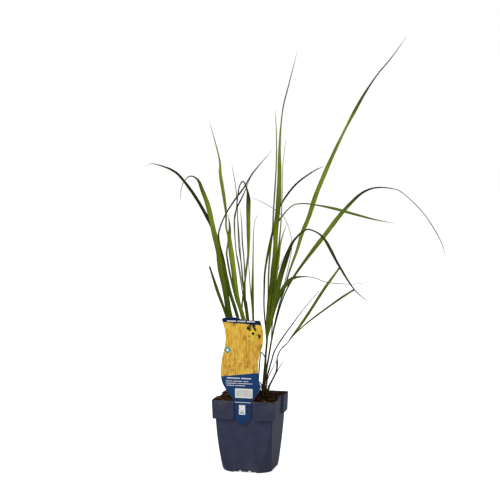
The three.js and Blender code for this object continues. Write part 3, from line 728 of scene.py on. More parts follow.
def buildScatterTree():
    group, given, out = newGroup(
        "scatteredBits", "Geometry",
        {"Geometry": "Geometry", "Density": 1000.0, "Small": 0.5, "Large": 1.0, "Tilt": 0.4,
         "Lowest": 0.118, "Low Tone": 0.0, "High Tone": 1.0, "Seed": 1, "Forms": "Collection",
         "Material": "Material"},
        {"Geometry": "Geometry"})

    def chance(kind, low, high, shift):
        return addNode(group, "FunctionNodeRandomValue", low, high, data_type=kind,
                       inputs={"Seed": given["Seed"] + shift})[0]

    upright = split(addNode(group, "GeometryNodeInputNormal")[0])[2]
    height = split(addNode(group, "GeometryNodeInputPosition")[0])[2]
    top = calc("GREATER_THAN", upright, 0.4) * calc("GREATER_THAN", height, given["Lowest"])
    points = addNode(group, "GeometryNodeDistributePointsOnFaces", inputs={
        "Mesh": given["Geometry"], "Selection": top, "Density": given["Density"], "Seed": given["Seed"]})
    forms = addNode(group, "GeometryNodeCollectionInfo", inputs={
        "Separate Children": True, "Reset Children": True, "Collection": given["Forms"]})
    back, tilt = given["Tilt"] * -1, given["Tilt"]
    lowTurn = addNode(group, "ShaderNodeCombineXYZ", back, back)[0]
    highTurn = addNode(group, "ShaderNodeCombineXYZ", tilt, tilt, 2 * math.pi)[0]
    bits = addNode(group, "GeometryNodeInstanceOnPoints", inputs={
        "Points": points[0], "Instance": forms[0], "Pick Instance": True,
        "Instance Index": chance("INT", 0, 5, 1), "Rotation": chance("FLOAT_VECTOR", lowTurn, highTurn, 2),
        "Scale": chance("FLOAT", given["Small"], given["Large"], 3)})
    tone = chance("FLOAT", given["Low Tone"], given["High Tone"], 4)
    endTree(storeNamed(bits[0], "tone", tone, domain="INSTANCE"), given, out)
    return group


def lumpForm(index, form, rough):
    ball = bmesh.new()
    bmesh.ops.create_icosphere(ball, subdivisions=1, radius=1)
    points = []
    for vertex in ball.verts:
        shake = noise.noise_vector(vertex.co * 1.3 + Vector((index * 7.3, 2, 1))) * rough
        points.append([(c + d) * size for c, d, size in zip(vertex.co, shake, form)])
    faces = [[v.index for v in face.verts] for face in ball.faces]
    ball.free()
    return points, faces


def fibreForm(index, rough):
    count, sides = 9, 5
    centre, points = Vector((-1, 0, 0)), []
    for i in range(count):
        share = i / (count - 1)
        drift = noise.noise_vector(Vector((index * 5.1 + share * 1.7, 3, 0))) * rough
        centre = Vector((2 * share - 1, drift.y, abs(drift.z) * 0.5))
        thick = 0.035 + 0.02 * math.sin(share * math.pi)
        for k in range(sides):
            t = k / sides * 2 * math.pi
            points.append(centre + Vector((0, math.cos(t), math.sin(t))) * thick)
    return points, loftFaces(count, sides)


def buildBits(surface, pot):
    tree = buildScatterTree()
    material = bitMaterial(bitLook)
    for s in bitSets:
        forms = bpy.data.collections.new(s["name"] + "Forms")
        noise.seed_set(s["seed"])  # or noise_vector gives other forms at each run
        for i in range(6):
            points, faces = lumpForm(i, s["form"], s["rough"]) if s["form"] else fibreForm(i, s["rough"])
            form = meshObject("%s%d" % (s["name"], i), points, faces, smooth=not s["form"])
            forms.objects.link(form)
            bpy.context.collection.objects.unlink(form)
        bits = bpy.data.objects.new(s["name"], surface.data.copy())
        bpy.context.collection.objects.link(bits)
        bits.data.materials.clear()
        throughModifier(bits, tree, {
            "Density": s["density"] / mm / mm, "Small": s["small"], "Large": s["large"], "Tilt": s["tilt"],
            "Lowest": bitLook["lowest"] * mm, "Low Tone": s["tones"][0], "High Tone": s["tones"][1],
            "Seed": s["seed"], "Forms": forms, "Material": material})
        for form in list(forms.objects):
            bpy.data.objects.remove(form)
        bpy.data.collections.remove(forms)
        keepInside(bits, pot)
        settle(bits, "soil")
        print(s["name"], len(bits.data.polygons), "faces")


def keepInside(bits, pot):  # draws in what would reach through the pot's wall
    far = {}
    for vertex in bits.data.vertices:
        x, y, z = vertex.co / mm
        key = round(math.degrees(math.atan2(y, x)))
        if key not in far:
            far[key] = min(reach(pot, math.radians(key + d), 124, pot["wall"] + 0.1) for d in (-0.5, 0, 0.5))
        away = math.hypot(x, y)
        if z < pot["height"] and away > far[key]:
            vertex.co.x *= far[key] / away
            vertex.co.y *= far[key] / away


soilPiece = buildSoil(soilSet, potSet)
buildBits(soilPiece, potSet)
print("soil made")


# The plant label: one thin card whose tab hangs in the front recess, with four small slots cut in its tab

labelSet = {
    "back": -53.25, "thickness": 0.8, "edge": 0.12,
    "slotWidth": 2.2, "slotHeight": 3.6, "slotColumns": (-11.7, 7.3), "slotRows": (109, 117.5),
    "outline": [  # start, then straight lines with one point and curves with three
        (-16.2, 122), [(-16.4, 129.2)],
        [(-26.13, 140.4), (-33, 150), (-37, 158)],
        [(-41.5, 170), (-41.5, 184), (-38.5, 200)],
        [(-34, 220), (-28, 236), (-34, 255)],
        [(-38.2, 271.2)],
        [(-30, 275.5), (-12, 276), (-1, 269.6)],
        [(29.4, 270)],
        [(38, 252), (37.5, 230), (29.5, 213)],
        [(25, 194), (24, 172), (31, 155)],
        [(27.67, 145.67), (22.73, 137.07), (16.2, 129.2)],
        [(12.4, 123)], [(11.8, 101.5)],
        [(9, 84.5), (-12, 84.5), (-16.2, 101)],
        [(-16.2, 122)],
    ],
    "navy": (0.004, 0.012, 0.060, 1), "gold": (0.74, 0.41, 0.030, 1), "amber": (0.46, 0.17, 0.012, 1),
    "straw": (0.88, 0.60, 0.10, 1), "shade": (0.020, 0.024, 0.010, 1), "blue": (0.008, 0.050, 0.17, 1),
    "deepBlue": (0.006, 0.038, 0.13, 1), "white": (0.82, 0.82, 0.80, 1), "grey": (0.42, 0.40, 0.35, 1),
    "yellow": (0.86, 0.62, 0.03, 1), "teal": (0.02, 0.29, 0.30, 1), "rim": (0.66, 0.66, 0.64, 1),
    "bars": [  # left, low, right and high
        (-29, 266.6, -13, 268.6), (-10.5, 266.6, 4, 268.6), (6.5, 266.6, 21, 268.6),
        (-29, 167.2, -6, 169.2), (-3.5, 167.2, 14, 169.2),
        (-31, 162.4, -20, 163.6), (-18.5, 162.4, -2, 163.6), (0, 162.4, 9, 163.6),
        (-31, 158.6, -12, 159.8), (-10, 158.6, 16, 159.8),
        (-30, 154.8, -16, 156.0), (-14.5, 154.8, 3, 156.0),
    ],
    "stamps": [  # three numbers are a lozenge's middle and size, and four are a box
        ("yellow", (17.5, 247, 7.6)), ("navy", (17.5, 247, 3.4)),
        ("teal", (-28, 217, 6.6)), ("white", (-28, 217, 3.0)),
        ("white", (-14.5, 134.0, 16.5, 150.4)), ("white", (-15.6, 125.6, 13.6, 126.6)),
        ("white", (-7.8, 104.8, 3.4, 121.4)), ("teal", (-5.8, 107, 1.4, 109.0)),
        ("grey", (-5.8, 111, 1.4, 112.2)),
    ],
    "ribs": (-12.5, 136.2, 14.5, 148.2), "edge": 0.12, "specular": 0.12, "bump": (0.12, 0.05),
    "grain": {"Scale": 2600.0, "Base_Roughness": 0.38, "Spread": 0.12},
}


def labelSpline(curve, points):
    spline = curve.splines.new("POLY")
    spline.points.add(len(points) - 1)
    for target, (x, z) in zip(spline.points, points):
        target.co = (x * mm, z * mm, 0, 1)
    spline.use_cyclic_u = True


def bezier(start, first, second, end, share):
    rest = 1 - share
    return tuple(rest ** 3 * a + 3 * rest ** 2 * share * b + 3 * rest * share ** 2 * c + share ** 3 * d
                 for a, b, c, d in zip(start, first, second, end))


def labelOutline(s):
    points = [s["outline"][0]]
    for part in s["outline"][1:]:
        if len(part) == 1:
            points.append(part[0])
        else:
            start = points[-1]
            points += [bezier(start, *part, i / 16) for i in range(1, 17)]
    return points[:-1]


def buildLabel(s):
    curve = bpy.data.curves.new("labelOutline", "CURVE")
    curve.dimensions = "2D"
    curve.fill_mode = "BOTH"
    curve.extrude = (s["thickness"] / 2 - s["edge"]) * mm
    curve.bevel_depth = s["edge"] * mm
    curve.bevel_resolution = 2
    curve.offset = -s["edge"] * mm
    labelSpline(curve, labelOutline(s))
    for x in s["slotColumns"]:
        for z in s["slotRows"]:
            w, h = s["slotWidth"] / 2, s["slotHeight"] / 2
            labelSpline(curve, [(x - w, z - h), (x + w, z - h), (x + w, z + h), (x - w, z + h)])
    flat = bpy.data.objects.new("labelFlat", curve)
    bpy.context.collection.objects.link(flat)
    bpy.context.view_layer.update()
    mesh = bpy.data.meshes.new_from_object(flat.evaluated_get(bpy.context.evaluated_depsgraph_get()))
    bpy.data.objects.remove(flat)
    shaper = bmesh.new()
    shaper.from_mesh(mesh)
    bmesh.ops.remove_doubles(shaper, verts=shaper.verts, dist=0.002 * mm)
    middle = (s["back"] - s["thickness"] / 2) * mm
    for vertex in shaper.verts:
        x, z, y = vertex.co
        vertex.co = (x, middle - y, z)
    bmesh.ops.recalc_face_normals(shaper, faces=shaper.faces)
    print("label open edges:", sum(1 for e in shaper.edges if len(e.link_faces) != 2))
    shaper.to_mesh(mesh)
    shaper.free()
    mesh.materials.clear()
    mesh.materials.append(labelPrint(s))
    card = bpy.data.objects.new("labelCard", mesh)
    bpy.context.collection.objects.link(card)
    mesh.shade_smooth()
    mesh.set_sharp_from_angle(angle=math.radians(35))
    return settle(card, "label_card", "label")


def labelPrint(s):
    material, tree, shader = newMaterial("labelPrint", s["specular"])
    place = objectPlace(tree)
    x, y, z = split(vec("SCALE", place, 1 / mm))

    def box(left, low, right, high):  # a plain rectangle
        soft = s["edge"]
        sides = remap(x, left - soft, left + soft) * fall(x, right - soft, right + soft)
        return sides * (remap(z, low - soft, low + soft) * fall(z, high - soft, high + soft))

    def lozenge(cx, cz, size):  # a square on its corner
        return fall(abs(x - cx) + abs(z - cz), size - 0.2, size + 0.2)

    # The straw-gold field
    streaks = noiseAt(place, (420, 100, 90), detail=6, roughness=0.65, distortion=0.6)
    tufts = noiseAt(place, (150, 60, 60), detail=4, roughness=0.6, distortion=1.2)
    field = blend(remap(z, 178.0, 262.0), s["amber"], s["gold"])
    field = blend(remap(streaks, 0.36, 0.62), field, s["straw"])
    field = blend(remap(tufts, 0.5, 0.72) * 0.75, field, s["amber"])
    gaps = remap(noiseAt(place, (120, 60, 75), detail=4), 0.52, 0.6) * remap(z + x * 0.8, 236.0, 262.0)
    field = blend(gaps, field, s["shade"])
    arcs = calc("SINE", (z + calc("SINE", x * 0.16) * 3.2) * 0.62)
    lines = remap(arcs, 0.9, 0.99) * (remap(z, 176.0, 186.0) * fall(z, 198.0, 214.0))
    field = blend(lines * 0.7, field, s["straw"])

    # The blue panel below it, the dark band above it, and what is printed on them
    panel = blend(remap(z, 128.0, 172.0), s["deepBlue"], s["blue"])
    panel = blend(remap(tufts, 0.45, 0.7) * 0.3, panel, s["deepBlue"])
    color = blend(remap(z - (x * 0.13 + 175.5), -0.3, 0.3), panel, field)
    color = blend(remap(z - (x * -0.05 + 263.6), -0.3, 0.3), color, s["navy"])
    for bar in s["bars"]:
        color = blend(box(*bar) * 0.85, color, s["white"])
    for tone, shape in s["stamps"]:
        color = blend(box(*shape) if len(shape) == 4 else lozenge(*shape), color, s[tone])
    ribs = remap(calc("SINE", x * 4.1) + calc("SINE", x * 2.3 + 1.3) * 0.8, -0.1, 0.15)
    color = blend(ribs * box(*s["ribs"]), color, s["grey"])
    face = s["back"] - s["thickness"]
    color = blend(fall(y, face + 0.05, face + 0.1), s["rim"], color)
    finishSurface(s, shader, useGroup(fineGrain, place, s["grain"]), color)
    return material


buildLabel(labelSet)
print("label made")


# The grass. Each shoot is a rolled leaf sheath with long folded blades. Paths run from root to tip
# as (across, depth, up), seen from the plant's best side. Turn is listed along a blade, in degrees:
# at 0 its flat side faces the front, and at 90 its edge does. Dark is 0 for the palest green, and the
# dark levels of shoots and blades hold painted shade as well as the leaf's own tone.
# The points of sheaths and paths, and of the loose stems below, were worked out by programs and not chosen by
# hand.

grassSet = {
    "turn": 13.5, "rootDepth": 24, "station": 4.0,
    "halfThick": 0.24, "tipHalfThick": 0.12, "fold": 0.2,
    "tipWidth": 0.45, "tipFrom": 0.96,
    "opening": 16, "mouth": 9, "sheathTaper": 0.25, "stalkTaper": 0.35, "sides": 20,
}

shoots = [
    {"name": "tiller_01", "girth": 1.7,
     "sheath": [(0, -24, 141), (-8, -24, 175), (-16, -24, 203)],
     "blades": [
         {"what": "low blunt left blade", "end": "cut", "turn": [20, 25, 30],
          "width": [2.5, 3.5, 4.8, 5.6, 5.6, 3.2],
          "dark": [0.7, 0.7, 0.7, 0.62, 0.6, 0.62, 0.8],
          "path": [(-23, -25, 215), (-42, -28, 275), (-57, -31, 317), (-71, -33, 361)]},
     ]},
    {"name": "tiller_02", "girth": 2.2,
     "sheath": [(2, -15, 139), (-6, -15, 173), (-12, -15, 201)],
     "blades": [
         {"what": "left droop", "end": "cut",
          "turn": [30, 29, 28, 27, 26, 25, 24, 23, 22, 21, 20, 20, 21, 24, 70, 72, 60],
          "width": [4, 8, 10.2, 10.4, 10.2, 9.2, 8, 5.5, 1],
          "dark": [0.5, 0.45, 0.5, 0.55, 0.5, 0.4, 0.35, 0.15, 0.1, 0.45, 0.7, 0.8],
          "path": [(-27, -18, 246), (-37, -22, 277), (-43.5, -29, 316), (-52, -37, 359),
                   (-55.5, -43, 390), (-64, -52, 427), (-72, -63, 466), (-82, -71, 495), (-89, -77, 512),
                   (-100, -80, 519), (-109, -84, 514), (-116, -88, 501), (-118, -95, 481)]},
     ]},
    {"name": "tiller_03", "girth": 2.2,
     "sheath": [(3, -6, 138), (-3, -6, 175), (-7, -6, 207)],
     "blades": [
         {"what": "far left arch", "turn": [35, 30, 30, 35, 50],
          "width": [3, 5, 6.5, 7, 7, 6.8, 6.2, 5, 1],
          "dark": [0.5, 0.55, 0.55, 0.55, 0.45, 0.35, 0.8, 0.85, 0.85, 0.9, 0.8, 0.6],
          "path": [(-17.5, -6, 250), (-27.5, -4, 285), (-36.5, -3, 313), (-43, -2, 341), (-48.5, 0, 369),
                   (-56, 2, 395), (-65, 5, 422), (-94, 9, 475), (-122, 14, 513), (-138, 15, 526),
                   (-156, 17, 533), (-173, 19, 537), (-185, 20, 532)]},
         {"what": "dark diagonal", "turn": [40, 60, 50, 45],
          "width": [1.5, 2.5, 3.5, 4.2, 3.8, 4.2, 0.9],
          "dark": [0.5, 0.45, 0.4, 0.5, 0.85, 0.8, 0.75, 0.8, 0.85],
          "path": [(-21, -13, 268), (-33.5, -16, 307), (-46, -19, 367), (-55, -23, 408), (-53, -25, 427),
                   (-43, -29, 451), (-28, -33, 475), (-11, -37, 498), (5, -42, 524), (36, -50, 561)]},
     ]},
    {"name": "tiller_04", "girth": 2.1,
     "sheath": [(5, 2, 136), (1, 2, 174), (-3, 2, 209)],
     "blades": [
         {"what": "tall left blade", "turn": [50, 60, 65, 60, 60, 55, 8, 10, 30],
          "width": [3, 4.5, 5.8, 6, 6, 6, 5.9, 2.4, 0.9],
          "dark": [0, 0, 0.2, 0.4, 0.3, 0.2, 0.45, 0.1, 0, 0.1, 0.15, 0.1, 0, 0.1, 0.2],
          "path": [(-16, 3, 271), (-26, 4, 300), (-35.5, 5, 340), (-40.5, 6, 368), (-42, 7, 382),
                   (-39, 8, 405), (-43, 9, 428), (-43, 10, 450), (-47, 12, 481), (-53, 14, 519),
                   (-55, 16, 547), (-72, 20, 611)]},
         {"what": "narrow blade behind the left ones", "turn": [40, 50, 50],
          "width": [2.5, 4, 4.6, 4.6, 4, 1.4],
          "dark": [0, 0, 0.05, 0.2, 0.45],
          "path": [(-17, -7, 274), (-25, -8, 306), (-30.5, -9, 335), (-34, -11, 363)]},
     ]},
    {"name": "tiller_05", "girth": 2.3,
     "sheath": [(6, 10, 135), (2, 10, 176), (-3, 10, 215)],
     "blades": [
         {"what": "broad light left blade", "turn": [15, 10, 5, 30],
          "width": [4, 6, 7, 7.2, 8.5, 9, 8.8, 6, 1],
          "dark": [0, 0, 0.05, 0.1, 0.1, 0.1, 0, 0, 0.3, 0.35],
          "path": [(-6, 11, 238), (-15, 14, 272), (-22, 17, 294), (-27, 21, 320), (-30, 25, 347),
                   (-37, 35, 401), (-37, 40, 424), (-40, 45, 446)]},
         {"what": "short sliver", "end": "dry", "turn": [20, 50],
          "width": [1.6, 2.2, 2.4, 2, 0.9],
          "dark": [0.3, 0.2, 0.35, 0.35, 0.6],
          "path": [(-5, 15, 252), (-9, 25, 290), (-17, 46, 336), (-24, 66, 372)]},
     ]},
    {"name": "tiller_06", "girth": 2,
     "sheath": [(10, 18, 133), (4, 18, 178), (-1, 18, 221)],
     "blades": [
         {"what": "hairpin",
          "turn": [35, 45, 55, 55, 55, 55, 50, 45, 40, 35, 30, 25, 22, 20, 22, 70, 80, 74, 68, 60],
          "width": [3, 4, 4.5, 4.5, 5, 7.6, 8, 6.6, 4],
          "dark": [0.35, 0.3, 0.2, 0.2, 0.3, 0.25, 0.15, 0.1, 0.15, 0.25, 0.75, 0.9, 0.85, 0.85],
          "path": [(-14.5, 19, 246), (-15, 22, 287), (-11, 25, 320), (-7, 28, 354), (-4, 32, 380),
                   (-4, 41, 449), (-4, 45, 477), (-8, 49, 497), (-13.5, 50, 505), (-18.5, 51, 500),
                   (-22, 50, 487), (-27, 52, 440)]},
         {"what": "thin middle left tip", "end": "dry", "turn": [30, 40],
          "width": [1.5, 2.2, 2.8, 2.9, 2.8, 2.6, 0.9],
          "dark": [0.4, 0.3, 0.45, 0.3, 0.3, 0.5],
          "path": [(-4, 23, 256), (-9, 34, 294), (-10, 45, 329), (-12, 58, 367), (-15, 70, 398),
                   (-16, 83, 427), (-19, 95, 452)]},
     ]},
    {"name": "tiller_07", "girth": 1.8,
     "sheath": [(8, 26, 132), (3, 26, 177), (-4, 26, 223)],
     "blades": [
         {"what": "high thin tip", "end": "dry", "turn": [30, 40, 40],
          "width": [1.5, 2.2, 2.8, 2.9, 2.4, 2.4, 1.8, 0.9],
          "dark": [0.4, 0.4, 0.45, 0.2, 0.3, 0.3, 0.5, 0.3, 0.3],
          "path": [(-7, 31, 262), (-12, 44, 309), (-16, 59, 351), (-21, 74, 385), (-23, 92, 424),
                   (-25, 114, 468), (-29, 133, 502), (-35, 150, 532)]},
         {"what": "curled thin blade", "turn": [55, 50, 45],
          "width": [1.5, 2, 2.5, 2.8, 2.8, 2.8, 3.6, 3.6, 1],
          "dark": [0.4, 0.35, 0.4, 0.3, 0.2, 0.5, 0.8, 0.85],
          "path": [(-8, 29, 266), (-15, 34, 312), (-21, 40, 351), (-26, 46, 382), (-29, 56, 432),
                   (-25, 61, 455), (-14, 67, 478), (0, 75, 510)]},
         {"what": "faint thin tip", "end": "dry", "turn": [30, 40],
          "width": [1.2, 2, 2.4, 2.4, 2.2, 1.8, 0.9],
          "dark": [0.4, 0.3, 0.5, 0.3, 0.4],
          "path": [(-6, 33, 262), (-10, 45, 298), (-14, 57, 326), (-17, 72, 357), (-23, 118, 434)]},
     ]},
    {"name": "tiller_08", "girth": 2,
     "sheath": [(15, -3, 137), (9, -3, 182), (5, -3, 224)],
     "blades": [
         {"what": "upright middle blade", "turn": [30, 40, 50],
          "width": [2.5, 3.5, 4.4, 5.4, 6.2, 3.8, 2.8, 1.8, 0.9],
          "dark": [0.15, 0.1, 0.3, 0.5, 0.25, 0.1, 0.1, 0.2],
          "path": [(5, -5, 253), (4, -9, 285), (3.5, -14, 318), (4.5, -27, 385), (5, -34, 414),
                   (7, -40, 437), (13, -45, 454)]},
         {"what": "short middle blade", "turn": [50, 60],
          "width": [1.5, 2.5, 3.2, 3.6, 3.4, 2.6, 1],
          "dark": [0.15, 0.3, 0.2, 0.2, 0.3],
          "path": [(5, -4, 260), (-1, -13, 328), (-4, -22, 378)]},
     ]},
    {"name": "stalk_01", "girth": 1.1, "dark": 0.5,
     "sheath": [(15, -16, 139), (8, -16, 187), (2, -16, 230), (-7, -16, 299)],
     "blades": []},
    {"name": "tiller_09", "girth": 2, "dark": 0.6, "brown": 0.1,
     "sheath": [(21.5, -5, 138), (24.5, -5, 175), (27, -5, 207), (29, -5, 232)],
     "blades": [
         {"what": "tall centre blade", "brown": [0, 0, 0, 0.5, 0.1, 0, 0, 0, 0, 0, 0, 0, 0.2, 0.4],
          "turn": [10, 14, 18, 22, 25, 30, 40, 45, 50],
          "width": [4.5, 6.5, 8, 8.6, 9.6, 7.2, 3.4, 2.8, 0.9],
          "dark": [0.35, 0.2, 0.15, 0.2, 0.2, 0.15, 0.4, 0.2, 0.1, 0, 0.1, 0.5, 0.5, 0.25],
          "path": [(29.5, -5, 260), (32.5, -6, 297), (36.5, -7, 324), (39, -7, 352), (43, -8, 384),
                   (44, -10, 423), (48, -12, 464), (50, -14, 513), (50, -16, 558), (52, -18, 599),
                   (56.5, -20, 637), (66, -22, 675), (80, -26, 730)]},
         {"what": "thin tip beside the centre", "turn": [30, 35, 20],
          "width": [1.8, 2.8, 3.6, 4, 3.6, 2.6, 1.8, 1.2, 0.9],
          "dark": [0.1, 0.1, 0.15, 0.15, 0.15, 0, 0.1, 0.1, 0.2],
          "path": [(34, -5, 271), (40.5, -6, 327), (47.5, -7, 378), (53, -9, 436), (55, -11, 492),
                   (56, -12, 536), (61, -14, 578)]},
         {"what": "short light tip", "turn": [30, 40, 50],
          "width": [2, 3, 4, 4.4, 4.6, 4.4, 3.8, 0.9],
          "dark": [0.4, 0.2, 0.05, 0.3, 0.1, 0.1, 0.3],
          "path": [(33, -5, 255), (46, -7, 345), (50, -7, 377), (53, -8, 402), (63, -9, 434)]},
     ]},
    {"name": "tiller_10", "girth": 1.7, "dark": 0.45, "brown": 0.05,
     "sheath": [(22, 5, 137), (24.5, 5, 170), (26.5, 5, 196), (28.5, 5, 221)],
     "blades": [
         {"what": "bent right blade", "turn": [62, 60, 60, 57, 45, 46, 76, 60, 22, 25, 35],
          "width": [3, 4.5, 5.6, 6, 6, 6, 5.6, 4, 0.9],
          "dark": [0.5, 0.7, 0.8, 0.8, 0.7, 0.3, 0.5, 0.45, 0.4, 0.35, 0.3, 0.4, 0.3, 0.2],
          "path": [(24, 5, 280), (24, 5, 315), (26, 4, 354), (37, 1, 411), (45, -1, 432), (70, -5, 462),
                   (90, -8, 468), (114, -12, 466), (146, -19, 460), (180, -29, 451), (212, -40, 443),
                   (246, -55, 437)]},
         {"what": "long thin centre blade", "turn": [40, 35, 35, 20],
          "width": [1.8, 2.6, 3.4, 3.8, 3.8, 3.4, 2.8, 2, 0.9],
          "dark": [0.3, 0.05, 0.1, 0.1, 0.2, 0.1, 0.25, 0.15, 0.3, 0.2],
          "path": [(29, 7, 258), (31, 11, 301), (32, 16, 346), (35, 21, 385), (39, 27, 420),
                   (41, 34, 460), (44, 42, 504), (46, 51, 546), (46, 60, 589), (44, 70, 631)]},
         {"what": "dead thin blade", "end": "dead", "brown": [0.1, 0.3, 0.8, 1, 1], "turn": [50, 50],
          "width": [1.6, 2.4, 2.4, 2, 1.2],
          "dark": [0.3, 0.15, 0.15, 0.3],
          "path": [(31, 7, 262), (36, 12, 309), (38, 18, 349), (40, 24, 384), (43, 30, 418)]},
     ]},
    {"name": "tiller_11", "girth": 1.7, "dark": 0.75, "brown": 0.45,
     "sheath": [(24, 13, 138), (29, 13, 177), (34, 13, 208), (37.5, 13, 229)],
     "blades": [
         {"what": "tallest blade", "turn": [25, 20, 15, 20, 30],
          "width": [2.4, 2.6, 2.8, 4, 6.6, 8.2, 8, 6.8, 4.6, 6, 3, 2.2, 0.9],
          "dark": [0.3, 0.3, 0.6, 0.5, 0.1, 0.1, 0.15, 0.1, 0, 0.2, 0, 0.3, 0.65, 0.6, 0.55, 0.4],
          "path": [(43, 14, 256), (51, 15, 289), (60, 17, 316), (69, 19, 348), (82, 22, 384),
                   (91, 25, 414), (103, 28, 443), (115, 32, 480), (131, 36, 519), (148, 41, 557),
                   (167, 47, 596), (185, 52, 630), (204, 57, 663), (226, 62, 695), (249, 68, 722),
                   (277, 75, 760)]},
         {"what": "great right arch", "turn": [30, 25, 28, 42, 55, 40],
          "width": [2.5, 2.8, 3, 5.8, 8.8, 9.4, 6, 2.5, 2.1, 2.1, 1],
          "dark": [0.4, 0.7, 0.8, 0.7, 0.4, 0.25, 0.15, 0.4, 1, 1, 0.8, 0.7, 0.6, 0.5],
          "path": [(52, 14, 284), (62, 14, 311), (74, 15, 334), (88, 16, 355), (111, 17, 386),
                   (133, 19, 414), (154, 20, 442), (174, 22, 465), (193, 23, 483), (210, 24, 492),
                   (228, 25, 495), (248, 26, 493), (267, 27, 486), (305, 30, 450), (335, 33, 404),
                   (347, 35, 371)]},
     ]},
    {"name": "tiller_12", "girth": 1.7, "dark": 0.65, "brown": 0.15,
     "sheath": [(22.5, -17, 140), (25.5, -17, 175), (27.5, -17, 209), (30, -17, 235)],
     "blades": [
         {"what": "broad dark droop", "turn": [30, 26, 22, 22, 28, 50, 70, 38, 34, 36, 45],
          "width": [4, 5.5, 7.5, 9.6, 10.6, 7.5, 6.8, 6.5, 4.6, 2.8, 0.9],
          "dark": [0.45, 0.25, 0.3, 0.5, 0.5, 0.75, 0.8, 0.8, 0.7, 0.75, 0.9, 0.8, 0.9, 0.8],
          "path": [(33, -19, 257), (41, -26, 293), (53, -37, 348), (68, -48, 395), (78, -53, 412),
                   (91, -57, 424), (103, -60, 426), (125, -67, 412), (150, -81, 367), (176, -95, 327),
                   (204, -105, 304)]},
         {"what": "low S curve", "turn": [25, 28, 32, 38, 42, 78, 70, 70, 70],
          "width": [3.5, 5, 6.5, 8.5, 9.4, 4, 3.5, 2.5, 0.9],
          "dark": [0.2, 0.4, 0.4, 0.55, 0.55, 0.75, 0.8, 0.8, 0.7],
          "path": [(38.5, -19, 273), (44, -22, 292), (51, -24, 311), (60, -27, 327), (73, -30, 340),
                   (92, -34, 343), (111, -38, 341), (132, -42, 334), (171, -52, 332), (202, -60, 336)]},
     ]},
    {"name": "tiller_13", "girth": 1.4, "dark": 0.8, "brown": 0.6,
     "sheath": [(24.5, 23, 137), (30, 23, 177), (35.5, 23, 210)],
     "blades": [
         {"what": "dark rear arch", "turn": [50, 50, 35, 35],
          "width": [2, 3, 4.2, 4.4, 4.2, 4, 4, 1.6],
          "dark": [0.3, 0.15, 0.1, 0.15, 0.05, 0.35, 0.8, 1, 1, 1, 0.9],
          "path": [(38, 25, 242), (41, 33, 294), (43, 44, 347), (45, 57, 400), (49, 67, 438),
                   (54, 74, 461), (81, 88, 497), (116, 103, 522), (136, 110, 530)]},
         {"what": "thin arch to the left", "end": "dry", "turn": [30, 55, 70, 60],
          "width": [1.8, 2.8, 3.2, 3.2, 2.4, 1.8, 2, 0.9],
          "dark": [0.35, 0.1, 0.1, 0.6, 0.3, 0.3, 0.3, 0.2],
          "path": [(43, 24, 249), (53, 27, 293), (69, 33, 362), (73, 35, 387), (72, 37, 408),
                   (63, 41, 435), (52, 43, 448), (35, 45, 460), (18, 48, 469), (1, 50, 476)]},
         {"what": "small edge blade", "turn": [40, 60],
          "width": [1.4, 2.4, 2.8, 2.2, 0.9],
          "dark": [0.2, 0.3, 0.2, 0.2],
          "path": [(38, 23, 245), (44, 25, 320), (48, 25, 345), (59, 26, 374)]},
     ]},
    {"name": "tiller_14", "girth": 1.3, "dark": 0.65, "brown": 0.6,
     "sheath": [(30.5, -26, 145), (39, -26, 164), (45, -26, 178), (46.5, -26, 200), (53, -26, 215),
              (64, -26, 226)],
     "blades": [
         {"what": "straight low right blade", "end": "cut", "turn": [55, 30, 15, 15, 30],
          "width": [3.5, 5, 5.4, 5.4, 5.1, 5.2, 3.8],
          "dark": [0.75, 0.35, 0.3, 0.4, 0.4, 0.4, 0.15, 0.15],
          "path": [(76, -28, 243), (91, -34, 265), (108, -44, 293), (126, -57, 324), (151, -78, 363)]},
         {"what": "second low right blade", "end": "cut", "turn": [60, 45, 30, 20, 20],
          "width": [3, 3.4, 3.4, 4, 3.6, 4.6, 3.4],
          "dark": [0.75, 0.5, 0.5, 0.5, 0.3],
          "path": [(75, -27, 240), (103, -31, 266), (152, -41, 304), (178, -48, 322)]},
         {"what": "leaflet", "from": 3, "end": "dead", "turn": [10, 10],
          "width": [2.6, 3.4, 2],
          "dark": 0.4,
          "path": [(47, -28, 193), (46, -29, 183), (44.5, -30, 172)]},
     ]},
    {"name": "stalk_02", "girth": [1.3, 1.5, 1.6, 1.5, 1.5, 1.2, 0.9, 0.8], "dark": 0.6,
     "sheath": [(27.5, 5, 137), (29.5, 5, 161), (33, 5, 175), (37.5, 5, 191), (42, 5, 206), (54, 5, 227),
              (76, 5, 258), (96, 5, 285), (121, 5, 314)],
     "blades": []},
    {"name": "stalk_03", "girth": [1, 1.2, 1.2, 0.9], "dark": 0.6,
     "sheath": [(32.5, -9, 142), (40, -9, 160), (50, -9, 179), (58, -9, 191)],
     "blades": []},
    {"name": "stalk_04", "girth": 1.5, "dark": 0.7,
     "sheath": [(13, -14, 141), (14, -14, 162), (15.5, -14, 183), (17, -14, 201), (18.5, -14, 208),
              (22.5, -14, 204), (25.5, -14, 199)],
     "blades": []},
]


def along(values, share):  # a value from a list spread evenly over a strand, smooth in between
    if not isinstance(values, list):
        return values
    place = min(max(share, 0), 1) * (len(values) - 1)
    low = min(int(place), len(values) - 2)
    before, start, end = values[max(low - 1, 0)], values[low], values[low + 1]
    after, t = values[min(low + 2, len(values) - 1)], place - low
    bend = t * (2 * before - 5 * start + 4 * end - after + t * (3 * (start - end) + after - before))
    return start + 0.5 * t * (end - before + bend)


